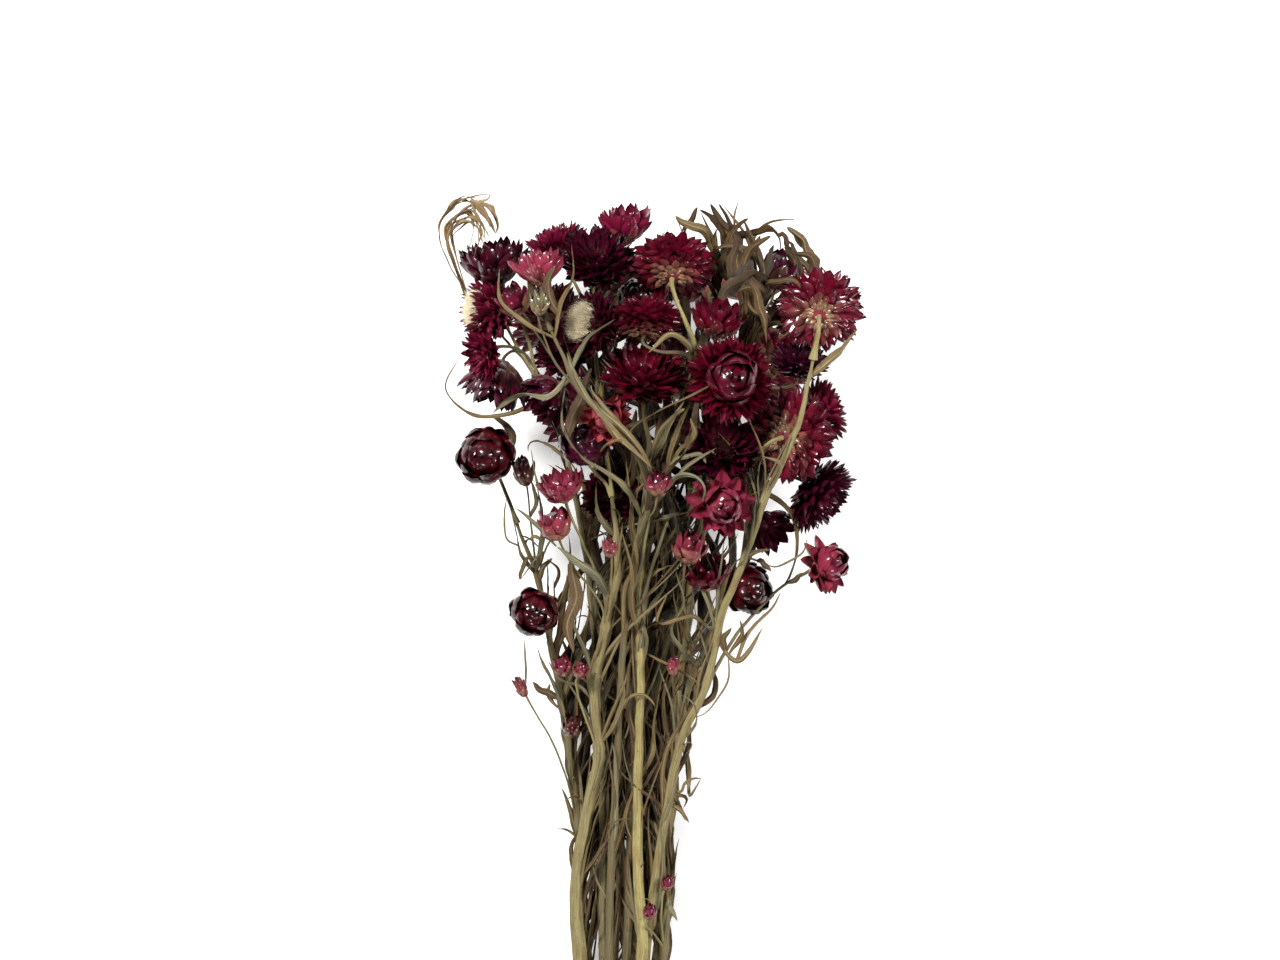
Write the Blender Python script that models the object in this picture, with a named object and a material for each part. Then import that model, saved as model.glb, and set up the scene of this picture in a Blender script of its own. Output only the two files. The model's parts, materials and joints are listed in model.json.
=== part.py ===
"""A tied bunch of dried strawflowers, lying on its back on the surface z = 0.

The flower heads point along +Y, the cut stem ends along -Y, and the side with the most open
flowers looks up along +Z. Lengths in the tables are millimetres from a point on the surface where
the stems have left the tie. From there the middle of the whole bunch lies TABLE_ZERO_X along +X
and TABLE_ZERO_Y along +Y, and that middle is the model's origin. Every bloom stands 0.3 mm off the
stalk that carries it. One solver, settle, moves stems, leaves and blooms apart until none cross.
"""
import math

import bmesh
import bpy
import numpy as np

MM = 0.001

# Driving dimensions
CUT_END_Y = -128.0          # mean place of the cut stem ends
CUT_RAGGEDNESS = 5.0        # how far a cut end lies from that place at most
TIE_Y = -78.0               # middle of the tie
TIE_STRETCH = 12.0          # straight stretch of a stem on each side of it
TABLE_ZERO_X = 4.2          # middle of the bunch's width, seen from the tables' zero
TABLE_ZERO_Y = 125.4        # and of its length
HEAD_FLATTENING = 0.92      # the lying head sinks: heights above the surface times this
BUNDLE_X = -11.0            # middle of the stem bundle at the tie
BUNDLE_Z = 17.4             # its height there
CUT_END_SPREAD = 1.12       # the cut ends stand this much wider than the tied stems
CUT_END_RISE = 1.2          # and this much higher
TIED_STEM_RADIUS = 3.3      # a stem where the tie squeezes it
SLOT_GAP = 0.22             # half the room between two tied stems
STEM_STEP = 34.0            # distance between the rings of a stem
LEAF_STEP = 18.0            # and of a leaf
STALK_NECK = 6.0            # straight end of a stalk under its bloom
LONG_STALK = 40.0           # a stalk longer than this gets one more ring
STALK_RADIUS_LEAST = 0.45   # a stalk's radius is this plus STALK_GROWTH times its bloom's
STALK_GROWTH = 0.07
STEM_SIDES = 5
STALK_SIDES = 4
LEAF_SIDES = 3
SEAT_GAP = 0.3              # between a bloom and its stalk, and round the tied stems
BUD_SINK = 0.8              # a fused bud sits this part of its radius down on its stalk
BUD_STALK_RADIUS = 0.9
LEAF_THICKNESS = 0.34       # half thickness of a leaf as part of its half width
LEAF_LEAST_THICKNESS = 0.45
LEAF_TWIST_STEP = 10.0      # most degrees that a leaf turns from ring to ring, so that it never
                            # passes through itself
LEAF_FOOT_WIDTH = 0.28      # narrowest part of a leaf, as part of its full width
TIE_TURNS = 4
TWINE_RADIUS = 1.7
TIE_SIDES = 12

# How the bunch settles
CLEARANCE = 0.45            # between any two pieces
SURFACE_GAP = 0.3           # between the surface and a route
SETTLE_ROUNDS = 480
ROUNDS_PER_SEARCH = 8       # pairs that are near are looked up once in so many rounds
PUSH_STRENGTH = 1.3         # of a route, as part of what would just clear an overlap
BLOOM_PUSH_STRENGTH = 1.1
SMOOTHING = 0.6             # share of the neighbours' shift in a point's own, at the start
SMOOTHED_ROUNDS = 0.7       # it falls to nothing over this part of the rounds

# The twelve places of the stems in the tie: nine round the edge and three inside.
EDGE_SLOT_REACH = 3.08 * (TIED_STEM_RADIUS + SLOT_GAP)
CORE_SLOT_REACH = 1.18 * (TIED_STEM_RADIUS + SLOT_GAP)

# Stem: slot reach, slot angle in degrees, radius low, radius high, then its route above the tie.
STEMS = {
    "stem_01": (EDGE_SLOT_REACH, 150, 4.2, 2.4, [
        (-31, 0, 32), (-31.5, 51, 35), (-22.5, 82, 40), (-21, 105, 43), (-23.5, 128, 46),
        (-21, 155, 50), (-13, 180, 57), (-11, 212, 62), (-14, 232, 66)]),
    "stem_02": (EDGE_SLOT_REACH, 70, 3.4, 2.0, [
        (4, 0, 40), (1.5, 50, 42), (1.5, 110, 46), (1.5, 160, 52), (1, 200, 58), (3, 232, 64),
        (5, 252, 66)]),
    "stem_03": (EDGE_SLOT_REACH, 30, 3.0, 2.0, [
        (3, 0, 30), (12.5, 65, 43), (21, 110, 52), (33, 134, 58), (40.5, 171, 66),
        (52.5, 200, 76), (66, 241, 90), (78, 264, 96), (80, 284, 98), (86, 300, 98)]),
    "stem_04": (EDGE_SLOT_REACH, 310, 2.6, 1.8, [
        (9, 0, 18), (12, 60, 22), (17, 110, 28), (22, 150, 36), (27, 190, 46), (34, 230, 54),
        (42, 262, 62)]),
    "stem_05": (EDGE_SLOT_REACH, 110, 2.4, 2.0, [
        (-15, 0, 39), (-12, 60, 43), (-8, 120, 50), (-3, 180, 64), (4, 220, 78), (6, 240, 86),
        (-3, 258, 98), (-21, 275, 103), (-35, 292, 103), (-44, 314, 99)]),
    "stem_06": (EDGE_SLOT_REACH, 190, 2.6, 1.8, [
        (-27, 0, 17), (-31, 60, 22), (-37, 110, 28), (-45, 155, 38), (-52, 190, 48),
        (-62, 218, 58)]),
    "stem_07": (CORE_SLOT_REACH, 210, 2.6, 1.8, [
        (-19, 0, 22), (-19, 80, 27), (-22, 150, 34), (-29, 210, 44), (-38, 255, 54),
        (-50, 285, 60)]),
    "stem_08": (EDGE_SLOT_REACH, 230, 2.8, 1.8, [
        (-13, 0, 8.5), (-11, 80, 15), (-11, 160, 26), (-14, 230, 40), (-22, 285, 54),
        (-26, 315, 60)]),
    "stem_09": (CORE_SLOT_REACH, 90, 2.6, 1.6, [
        (-7, 0, 29), (-4, 80, 33), (0, 150, 42), (6, 220, 56), (16, 265, 70), (27, 300, 82)]),
    "stem_10": (EDGE_SLOT_REACH, 270, 2.8, 1.8, [
        (0, 0, 8.5), (4, 80, 14), (11, 160, 24), (26, 230, 38), (44, 285, 50), (56, 318, 56)]),
    "stem_11": (CORE_SLOT_REACH, 330, 2.6, 1.8, [
        (-4, 0, 18.5), (2, 80, 22), (12, 150, 30), (28, 205, 42), (48, 238, 52)]),
    "stem_12": (EDGE_SLOT_REACH, 350, 2.4, 1.8, [
        (12, 0, 27), (15, 60, 30), (20, 110, 36), (28, 145, 44), (38, 168, 52)]),
}

# Bloom: kind, place of its middle, radius, way it faces, stem, y where its stalk leaves the stem
# (None for the stem's end), colour.
BLOOMS = {
    "bloom_01": ("cup", (-74, 349, 62), 14, (-0.1, 1, 0.25), "stem_07", None, "maroon"),
    "bloom_02": ("cup", (-49, 347, 90), 13, (-0.1, 1, -0.1), "stem_05", None, "rose"),
    "bloom_03": ("bud", (-64, 331, 84), 8.5, (-0.5, 0.7, 0.4), "stem_05", 292, "magenta"),
    "bloom_05": ("open", (-80, 325, 66), 14, (-1, 0.1, 0.3), "stem_07", None, "magenta"),
    "bloom_06": ("open", (-78, 304, 74), 14.5, (-0.75, -0.35, 0.6), "stem_07", 255, "magenta"),
    "bloom_07": ("cup", (-73, 288, 56), 13, (-0.3, -1, 0.1), "stem_07", 255, "maroon"),
    "bloom_08": ("ball", (-77, 252, 76), 15.5, (-0.1, 0.05, 1), "stem_06", None, "garnet"),
    "bloom_10": ("open", (-20, 352, 76), 17.5, (0.1, 0.75, 0.65), "stem_08", None, "maroon"),
    "bloom_11": ("open", (-40, 358, 58), 14.5, (-0.4, 0.9, 0.1), "stem_08", None, "magenta"),
    "bloom_12": ("cup", (-8, 369, 60), 12, (-0.1, 1, 0.2), "stem_08", None, "rose"),
    "bloom_13": ("back", (17, 351, 74), 21.5, (0.05, 0.75, -0.66), "stem_09", None, "crimson"),
    "bloom_14": ("open", (-25, 318, 86), 17, (-0.75, 0.25, 0.6), "stem_08", 285, "maroon"),
    "bloom_15": ("ball", (-6, 332, 60), 11.5, (0.1, 0.7, 0.7), "stem_08", None, "plum"),
    "bloom_16": ("back", (9, 320, 84), 18, (0, 0.9, -0.35), "stem_09", None, "crimson"),
    "bloom_17": ("open", (1, 292, 84), 22, (0, 0.85, 0.5), "stem_02", None, "crimson"),
    "bloom_18": ("ball", (45, 290, 96), 23, (0.1, 0.1, 1), "stem_04", None, "crimson"),
    "bloom_19": ("cup", (46, 322, 78), 13.5, (0.1, 0.9, 0.35), "stem_04", 262, "crimson"),
    "bloom_20": ("back", (90, 326, 84), 21.5, (0.05, 0.45, -0.88), "stem_03", None, "crimson"),
    "bloom_21": ("bud", (69, 347, 66), 9, (0.1, 0.9, 0.4), "stem_10", None, "plum"),
    "bloom_22": ("ball", (71, 328, 52), 12, (0.2, 0.8, 0.5), "stem_10", None, "maroon"),
    "bloom_23": ("open", (80.5, 300, 66), 13.5, (0.2, 0.9, 0.4), "stem_10", 285, "plum"),
    "bloom_24": ("back", (75, 262, 72), 21, (0.45, 0.1, -0.9), "stem_11", None, "crimson"),
    "bloom_25": ("open", (94, 276, 48), 16.5, (1, 0.35, 0.0), "stem_10", 285, "magenta"),
    "bloom_26": ("open", (91, 232, 56), 15, (0.75, -0.6, 0.25), "stem_11", 205, "maroon"),
    "bloom_27": ("cup", (66, 215, 52), 10.5, (0.5, -0.6, 0.5), "stem_11", 205, "maroon"),
    "bloom_28": ("star", (94, 197, 62), 14, (0.7, 0.25, 0.65), "stem_03", 134, "rose"),
    "bloom_29": ("ball", (55, 184, 50), 14.5, (0.55, -0.1, 0.75), "stem_12", None, "garnet"),
    "bloom_30": ("cup", (35, 192, 60), 11, (-0.1, 0.8, 0.5), "stem_12", None, "crimson"),
    "bloom_31": ("star", (41, 229, 92), 16.5, (0.15, -0.1, 1), "stem_04", 190, "rose"),
    "bloom_32": ("open", (46, 254, 76), 17.5, (0.1, 0.5, 0.75), "stem_04", 230, "maroon"),
    "bloom_33": ("star", (-15, 277, 88), 14, (0.05, 0.15, 1), "stem_01", None, "rose"),
    "bloom_34": ("ball", (-27, 257, 76), 13.5, (-0.1, 0.6, 0.7), "stem_01", None, "plum"),
    "bloom_35": ("cup", (-47, 281, 78), 14, (-0.7, -0.5, 0.4), "stem_08", 230, "maroon"),
    "bloom_36": ("open", (-43, 305, 60), 15.5, (-0.5, 0.5, 0.6), "stem_08", 285, "maroon"),
    "bloom_37": ("bud", (8, 239, 92), 7.5, (0.1, 0.9, 0.45), "stem_02", 200, "magenta"),
    "bloom_38": ("cup", (-39, 240, 82), 11, (-0.3, 0.9, 0.3), "stem_01", 180, "rose"),
    "bloom_39": ("bud", (-43, 218, 76), 8, (-0.3, 0.9, 0.3), "stem_01", 155, "rose"),
    "bloom_41": ("ball", (-53, 173, 66), 13, (-0.1, -0.1, 1), "stem_06", 110, "garnet"),
    "bloom_46": ("bud", (25, 207, 78), 8, (0.2, 0.85, 0.5), "stem_12", 145, "rose"),
    "bloom_50": ("open", (-13, 233, 54), 13, (-0.1, 0.5, 0.85), "stem_09", 150, "maroon"),
    "under_01": ("open", (-47, 322, None), 15, (-0.3, 0.5, -0.8), "stem_08", None, "crimson"),
    "under_02": ("open", (-6, 338, None), 16, (-0.1, 0.6, -0.8), "stem_08", None, "maroon"),
    "under_03": ("star", (38, 343, None), 15, (0.2, 0.7, -0.7), "stem_10", None, "rose"),
    "under_04": ("open", (66, 300, None), 16, (0.5, 0.3, -0.8), "stem_10", 285, "crimson"),
    "under_05": ("ball", (17, 296, None), 15, (0.1, 0.3, -0.95), "stem_10", 230, "garnet"),
    "under_06": ("open", (-28, 274, None), 15, (-0.3, 0.2, -0.9), "stem_08", 230, "magenta"),
    "under_07": ("ball", (52, 246, None), 13, (0.5, 0.1, -0.85), "stem_11", 205, "maroon"),
}

# Bud fused to its stem: place of its middle, radius, way it faces, stem, y of its fork.
STALK_BUDS = {
    "bud_04": ((-50, 329, 104), 5.5, (0, 1, 0.1), "stem_05", 292),
    "bud_09": ((-59, 246, 62), 5.5, (-0.2, 1, 0.2), "stem_06", 190),
    "bud_40": ((-15, 207, 84), 5.0, (-0.1, 1, 0.4), "stem_01", 180),
    "bud_42": ((-39, 147, 60), 5.5, (-0.3, 0.9, 0.4), "stem_01", 105),
    "bud_52": ((-29.5, 145, 63), 4.5, (0.3, 0.9, 0.4), "stem_01", 105),
    "bud_43": ((-61, 136, 44), 4.2, (-0.5, 0.85, 0.1), "stem_06", 60),
    "bud_44": ((-34, 116, 40), 6.0, (0.1, 0.9, 0.5), "stem_06", 60),
    "bud_47": ((16.5, 147, 62), 4.0, (0, 1, 0.3), "stem_12", 110),
    "bud_48": ((5, 22, 49), 4.0, (0.2, 0.9, 0.5), "stem_12", 0),
    "bud_49": ((14, 36, 42), 3.8, (0.3, 0.9, 0.3), "stem_12", 0),
}

# Leaf: stem, half width, twist in degrees, then its route from near the stem to its tip.
LEAVES = [
    ("stem_01", 2.6, 40, [(-12, 180, 58), (-22, 193, 70), (-34, 201, 74), (-42, 208, 76)]),
    ("stem_01", 1.8, 60, [(-11, 212, 62), (-20, 222, 74), (-24, 232, 80), (-22, 240, 84)]),
    ("stem_01", 1.6, 120, [(-22, 140, 47), (-30, 160, 56), (-36, 180, 62), (-34, 196, 64)]),
    ("stem_01", 1.5, 90, [(-21, 105, 43), (-12, 118, 52), (-8, 132, 56), (-10, 146, 60)]),
    ("stem_05", 2.2, 150, [(4, 220, 78), (-7, 238, 92), (-22, 247, 96), (-34, 257, 96),
                           (-39, 271, 92), (-38, 285, 90)]),
    ("stem_05", 2.2, 200, [(-35, 292, 98), (-42, 282, 102), (-56, 285, 96), (-66, 278, 88),
                           (-74, 273, 84)]),
    ("stem_05", 1.5, 90, [(-44, 314, 96), (-39, 326, 104), (-33, 342, 106), (-34, 357, 104)]),
    ("stem_05", 1.5, 90, [(-35, 292, 98), (-30, 306, 104), (-19, 314, 106), (-12, 320, 104)]),
    ("stem_05", 1.3, 60, [(-44, 314, 96), (-56, 318, 100), (-68, 326, 98), (-70, 346, 92)]),
    ("stem_05", 2.0, 80, [(-21, 275, 96), (-12, 262, 102), (0, 254, 104), (6, 246, 104)]),
    ("stem_02", 2.4, 60, [(4, 245, 66), (10, 256, 82), (16, 268, 92), (23, 280, 96)]),
    ("stem_02", 2.0, 120, [(3, 232, 64), (14, 244, 80), (24, 256, 88), (28, 270, 92)]),
    ("stem_02", 1.5, 180, [(2, 224, 62), (14, 235, 84), (26, 250, 98), (38, 256, 102)]),
    ("stem_02", 1.5, 120, [(1, 200, 58), (-4, 218, 74), (-4, 234, 84), (-7, 250, 88)]),
    ("stem_02", 1.8, 60, [(1.5, 160, 52), (-4, 180, 66), (-4, 198, 76), (-9, 214, 76)]),
    ("stem_06", 1.6, 90, [(-52, 190, 48), (-49, 210, 60), (-50, 228, 68), (-53, 243, 72)]),
    ("stem_06", 1.5, 90, [(-52, 190, 48), (-58, 200, 60), (-62, 210, 68), (-64, 224, 70)]),
    ("stem_06", 1.6, 60, [(-52, 190, 48), (-47, 200, 62), (-55, 204, 68), (-60, 190, 70)]),
    ("stem_06", 1.2, 60, [(-37, 110, 28), (-41, 128, 40), (-46, 142, 46), (-52, 154, 48)]),
    ("stem_12", 1.3, 120, [(38, 168, 52), (24, 172, 70), (10, 168, 76), (6, 176, 78),
                           (14, 184, 80)]),
    ("stem_12", 1.5, 120, [(28, 145, 44), (16, 164, 66), (22, 178, 74), (18, 194, 78)]),
    ("stem_12", 1.5, 90, [(20, 110, 36), (26, 88, 42), (24, 78, 46), (31, 89, 48)]),
    ("stem_12", 1.3, 90, [(17, 80, 32), (21, 72, 42), (25, 66, 46)]),
    ("stem_12", 1.5, 60, [(14, 30, 28), (16, 20, 36), (19, 16, 40)]),
    ("stem_12", 1.6, 90, [(38, 168, 52), (46, 196, 64), (58, 202, 70), (68, 196, 72)]),
    ("stem_03", 1.3, 90, [(62, 233, 87), (70, 246, 98), (70, 256, 102), (60, 252, 104)]),
    ("stem_03", 2.2, 80, [(83, 292, 98), (98, 303, 92), (106, 308, 88), (108, 316, 86)]),
    ("stem_03", 1.2, 60, [(37, 160, 63), (45, 146, 66), (56, 156, 66), (62, 166, 66)]),
    ("stem_04", 1.6, 60, [(27, 190, 46), (20, 208, 62), (18, 222, 72), (14, 236, 76)]),
    ("stem_11", 1.4, 60, [(48, 238, 52), (70, 232, 62), (76, 222, 60), (79, 200, 58),
                          (75, 188, 56)]),
    ("stem_09", 1.8, 90, [(27, 300, 82), (24, 310, 96), (14, 312, 102), (4, 303, 106)]),
    ("stem_09", 1.6, 90, [(6, 220, 56), (12, 226, 70), (17, 214, 78), (20, 224, 84)]),
    ("stem_07", 1.3, 90, [(-50, 285, 60), (-64, 274, 66), (-80, 272, 70), (-95, 279, 74),
                          (-97, 292, 76), (-90, 302, 82)]),
    ("stem_07", 1.2, 60, [(-22, 150, 34), (-34, 158, 32), (-42, 172, 28), (-44, 190, 30)]),
    ("stem_08", 2.0, 90, [(-14, 230, 40), (-24, 240, 34), (-36, 238, 30), (-44, 248, 28)]),
    ("stem_08", 1.8, 60, [(-11, 160, 26), (-16, 180, 20), (-24, 196, 16), (-26, 212, 16)]),
    ("stem_08", 1.6, 120, [(-11, 120, 20), (-4, 140, 14), (2, 158, 10), (2, 176, 9)]),
    ("stem_10", 2.0, 60, [(11, 160, 24), (16, 180, 16), (14, 198, 12), (18, 214, 12)]),
    ("stem_10", 1.8, 90, [(26, 230, 38), (28, 244, 28), (38, 254, 22), (40, 268, 18)]),
    ("stem_10", 2.6, 60, [(50, 303, 53), (52, 334, 60), (40, 348, 70), (36, 364, 76),
                          (30, 375, 78)]),
    ("stem_10", 2.4, 60, [(55, 315, 56), (54, 340, 66), (49, 354, 76), (44, 366, 80),
                          (37, 377, 82)]),
    ("stem_10", 2.2, 90, [(53, 310, 54), (58, 340, 58), (57, 356, 66), (49, 369, 70),
                          (41, 379, 70)]),
    ("stem_10", 2.2, 90, [(51.5, 306, 54), (61, 334, 76), (61, 350, 86), (53, 362, 84)]),
    ("stem_10", 2.2, 90, [(48, 297, 52), (66, 336, 50), (72, 352, 52), (70, 366, 56)]),
    ("stem_10", 2.4, 60, [(49, 300, 53), (74, 334, 70), (86, 346, 62), (84, 359, 58),
                          (74, 367, 56)]),
    ("stem_10", 3.0, 60, [(46, 291, 51), (58, 330, 80), (48, 336, 92), (40, 330, 96)]),
    ("stem_10", 2.2, 60, [(43, 282, 50), (63, 326, 84), (60, 318, 92), (63, 308, 96)]),
    ("stem_10", 1.8, 60, [(47, 294, 51), (40, 330, 58), (26, 356, 56), (18, 373, 56)]),
]

# Straw-coloured tuft of curled old leaves: one stalk, then strands that start on it.
TUFT_STALK = [(-50, 285, 60), (-58, 300, 44), (-76, 318, 42), (-88, 334, 50), (-96, 356, 58)]
TUFT_STRANDS = [
    [(-88, 334, 50), (-97, 350, 56), (-101, 366, 62), (-96, 377, 62), (-86, 378, 60),
     (-74, 380, 58)],
    [(-88, 334, 50), (-94, 352, 52), (-98, 370, 54), (-90, 376, 50), (-80, 372, 48),
     (-75, 362, 48)],
    [(-88, 334, 50), (-92, 354, 60), (-93, 369, 66), (-84, 374, 70), (-75, 368, 72),
     (-72, 360, 70)],
    [(-88, 334, 50), (-96, 352, 62), (-97, 366, 70), (-88, 381, 74), (-78, 383, 76)],
]
TUFT_STALK_RADIUS = 0.9
TUFT_STRAND_HALF_WIDTH = 1.0

# Rings of a bloom's solid from its base to its middle, as parts of its radius. Two neighbouring
# columns of the solid take turns: (radius 1, radius 2, height 1, height 2). Where the two differ
# the ring is a star of bract points, and the ring after it is the root of the next layer.
RINGS = {
    "open": [(0.12, 0.12, -0.50, -0.50), (0.42, 0.36, -0.40, -0.40), (1.00, 0.78, -0.02, -0.12),
             (0.63, 0.61, 0.02, 0.02), (0.68, 0.88, 0.14, 0.24), (0.47, 0.47, 0.16, 0.16),
             (0.68, 0.52, 0.38, 0.31), (0.36, 0.36, 0.24, 0.24)],
    "ball": [(0.12, 0.12, -0.48, -0.48), (0.45, 0.42, -0.36, -0.36), (1.00, 0.80, -0.06, -0.15),
             (0.66, 0.64, 0.00, 0.00), (0.68, 0.86, 0.12, 0.20), (0.50, 0.50, 0.14, 0.14),
             (0.58, 0.52, 0.36, 0.30), (0.30, 0.38, 0.58, 0.52)],
    "star": [(0.14, 0.14, -0.50, -0.50), (0.40, 0.32, -0.34, -0.40), (1.00, 0.60, 0.06, -0.12),
             (0.50, 0.46, 0.02, 0.02), (0.46, 0.84, 0.10, 0.30), (0.38, 0.40, 0.18, 0.20),
             (0.46, 0.42, 0.40, 0.36), (0.24, 0.30, 0.60, 0.54)],
    "cup": [(0.16, 0.16, -0.75, -0.75), (0.52, 0.46, -0.58, -0.58), (0.90, 0.72, -0.10, -0.32),
            (0.66, 0.66, -0.24, -0.22), (0.78, 1.00, 0.28, 0.42), (0.60, 0.62, 0.20, 0.24),
            (0.66, 0.44, 0.62, 0.34), (0.34, 0.34, 0.26, 0.26)],
    "back": [(0.13, 0.13, -0.44, -0.44), (0.42, 0.27, -0.32, -0.38), (0.29, 0.31, -0.28, -0.28),
             (0.50, 0.66, -0.22, -0.20), (0.47, 0.47, -0.17, -0.17), (1.00, 0.80, 0.00, -0.06),
             (0.62, 0.60, 0.06, 0.06), (0.52, 0.82, 0.12, 0.24), (0.36, 0.36, 0.16, 0.16)],
    "bud": [(0.22, 0.22, -0.95, -0.95), (0.70, 0.64, -0.66, -0.66), (0.98, 0.80, -0.08, -0.40),
            (0.82, 0.82, -0.16, -0.12), (0.66, 0.84, 0.24, 0.52), (0.52, 0.54, 0.40, 0.42),
            (0.40, 0.26, 0.86, 0.66)],
    "tiny": [(0.30, 0.30, -0.95, -0.95), (0.98, 0.78, -0.10, -0.45), (0.78, 0.80, -0.16, -0.10),
             (0.50, 0.66, 0.46, 0.70), (0.30, 0.30, 0.62, 0.62)],
}
MIDDLE_HEIGHT = {"open": 0.32, "ball": 0.64, "star": 0.66, "cup": 0.22, "back": 0.20, "bud": 0.70,
                 "tiny": 0.95}

# Balls that stand for a bloom while the bunch settles: (ring radius, height, ball radius, count).
BALLS = {
    "open": [(0.66, 0.04, 0.35, 12), (0.0, 0.10, 0.42, 1), (0.0, -0.28, 0.26, 1)],
    "ball": [(0.66, 0.02, 0.35, 12), (0.0, 0.24, 0.46, 1), (0.0, -0.28, 0.26, 1)],
    "star": [(0.66, 0.08, 0.34, 12), (0.0, 0.26, 0.44, 1), (0.0, -0.28, 0.26, 1)],
    "cup": [(0.58, 0.14, 0.45, 12), (0.40, -0.26, 0.40, 6), (0.0, -0.50, 0.30, 1)],
    "back": [(0.66, 0.04, 0.35, 12), (0.0, -0.10, 0.42, 1), (0.0, 0.05, 0.42, 1)],
    "bud": [(0.0, -0.45, 0.72, 1), (0.0, 0.00, 0.95, 1), (0.0, 0.45, 0.62, 1)],
    "tiny": [(0.0, -0.45, 0.72, 1), (0.0, 0.00, 0.95, 1), (0.0, 0.45, 0.62, 1)],
}

# Finish: colour as sRGB hex, roughness.
FINISHES = {
    "maroon": ("3a0a1c", 0.32), "crimson": ("7a1230", 0.30), "garnet": ("5c0c1f", 0.28),
    "magenta": ("86204f", 0.32), "plum": ("4a1238", 0.30), "rose": ("a83a5c", 0.34),
    "stem": ("8a7d50", 0.75), "twine": ("a98b5b", 0.90),
}


def linear(channel):
    """One sRGB channel, 0 to 1, as linear light."""
    return channel / 12.92 if channel <= 0.04045 else ((channel + 0.055) / 1.055) ** 2.4


def finish(name):
    """The Principled material of one finish, made once."""
    if name in bpy.data.materials:
        return bpy.data.materials[name]
    hex_colour, roughness = FINISHES[name]
    material = bpy.data.materials.new(name)
    material.use_nodes = True
    shader = material.node_tree.nodes["Principled BSDF"]
    colour = [linear(int(hex_colour[k:k + 2], 16) / 255) for k in (0, 2, 4)]
    shader.inputs["Base Color"].default_value = (*colour, 1)
    shader.inputs["Roughness"].default_value = roughness
    shader.inputs["Metallic"].default_value = 0
    return material


def unit(vector):
    """The vector at length 1."""
    vector = np.asarray(vector, float)
    return vector / np.linalg.norm(vector)


def bloom_frame(facing):
    """Three columns: two across the bloom and one along the way it faces."""
    ahead = unit(facing)
    side = unit(np.cross((0.31, 0.17, 1.0) if abs(ahead[2]) < 0.9 else (0, 1, 0), ahead))
    return np.stack([side, np.cross(ahead, side), ahead], axis=1)


def columns_of(kind, radius):
    """How many columns a bloom's solid has: two for each bract of a layer."""
    if kind in ("tiny", "bud"):
        return 8 if kind == "tiny" else 12
    if kind == "star" or radius < 15.2:
        return 12
    return 16 if radius > 20.5 else 14


def bloom_points(kind, radius, facing, seed):
    """Points of a bloom's solid about its middle, and its faces.

    Point k of a ring stands at the angle 2 pi k / n, at the ring's radius and height for even or
    odd k, and each bract point is a little longer or shorter than the next by a sine of its place.
    """
    count = columns_of(kind, radius)
    column = np.arange(count)
    angle = 2 * math.pi * column / count
    rows = []
    for row, (even_reach, odd_reach, even_height, odd_height) in enumerate(RINGS[kind]):
        reach = np.where(column % 2 == 0, even_reach, odd_reach)
        height = np.where(column % 2 == 0, even_height, odd_height)
        wave = np.sin(2.3 * column + 1.7 * row + seed) if even_reach != odd_reach else 0 * angle
        longer = 1 - 0.05 * (1 + wave) * (reach == max(even_reach, odd_reach))
        rows.append(np.stack([reach * longer * np.cos(angle), reach * longer * np.sin(angle),
                              height + 0.02 * wave], axis=1))
    rows[0][:, 2] = RINGS[kind][0][2]
    grid = np.concatenate(rows + [np.array([[0, 0, RINGS[kind][0][2]],
                                            [0, 0, MIDDLE_HEIGHT[kind]]])])
    faces = []
    last = len(RINGS[kind]) - 1
    base, top = count * (last + 1), count * (last + 1) + 1
    for k in range(count):
        after = (k + 1) % count
        faces.append((base, after, k))
        faces.append((top, last * count + k, last * count + after))
        for row in range(last):
            low, high = row * count, (row + 1) * count
            if k % 2 == 0:
                faces += [(low + k, low + after, high + k), (low + after, high + after, high + k)]
            else:
                faces += [(low + k, low + after, high + after), (low + k, high + after, high + k)]
    return grid * radius @ bloom_frame(facing).T, faces


def smooth_route(points, step):
    """Evenly spaced points on a smooth curve through the given ones (a Catmull-Rom curve)."""
    points = np.asarray(points, float)
    ahead = np.vstack([points[0] * 2 - points[1], points, points[-1] * 2 - points[-2]])
    fine = []
    for k in range(1, len(ahead) - 2):
        t = np.linspace(0, 1, 24, endpoint=False)[:, None]
        before, start, end, after = ahead[k - 1], ahead[k], ahead[k + 1], ahead[k + 2]
        fine.append(0.5 * (2 * start + (end - before) * t
                           + (2 * before - 5 * start + 4 * end - after) * t ** 2
                           + (3 * start - before - 3 * end + after) * t ** 3))
    fine = np.vstack(fine + [points[-1:]])
    along = np.concatenate([[0], np.cumsum(np.linalg.norm(np.diff(fine, axis=0), axis=1))])
    places = np.linspace(0, along[-1], max(3, int(round(along[-1] / step)) + 1))
    return np.stack([np.interp(places, along, fine[:, k]) for k in range(3)], axis=1)


def stalk_route(start, start_way, end, end_way, parts):
    """Points of a cubic curve that leaves start along start_way and runs into a straight neck,
    which reaches end along end_way."""
    neck = end - end_way * min(STALK_NECK, 0.3 * np.linalg.norm(end - start))
    pull = 0.9 * np.linalg.norm(neck - start)
    t = np.linspace(0, 1, parts)[:, None]
    curve = ((2 * t ** 3 - 3 * t ** 2 + 1) * start + (t ** 3 - 2 * t ** 2 + t) * pull * start_way
             + (3 * t ** 2 - 2 * t ** 3) * neck + (t ** 3 - t ** 2) * pull * end_way)
    return np.vstack([curve, end[None]])


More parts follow.
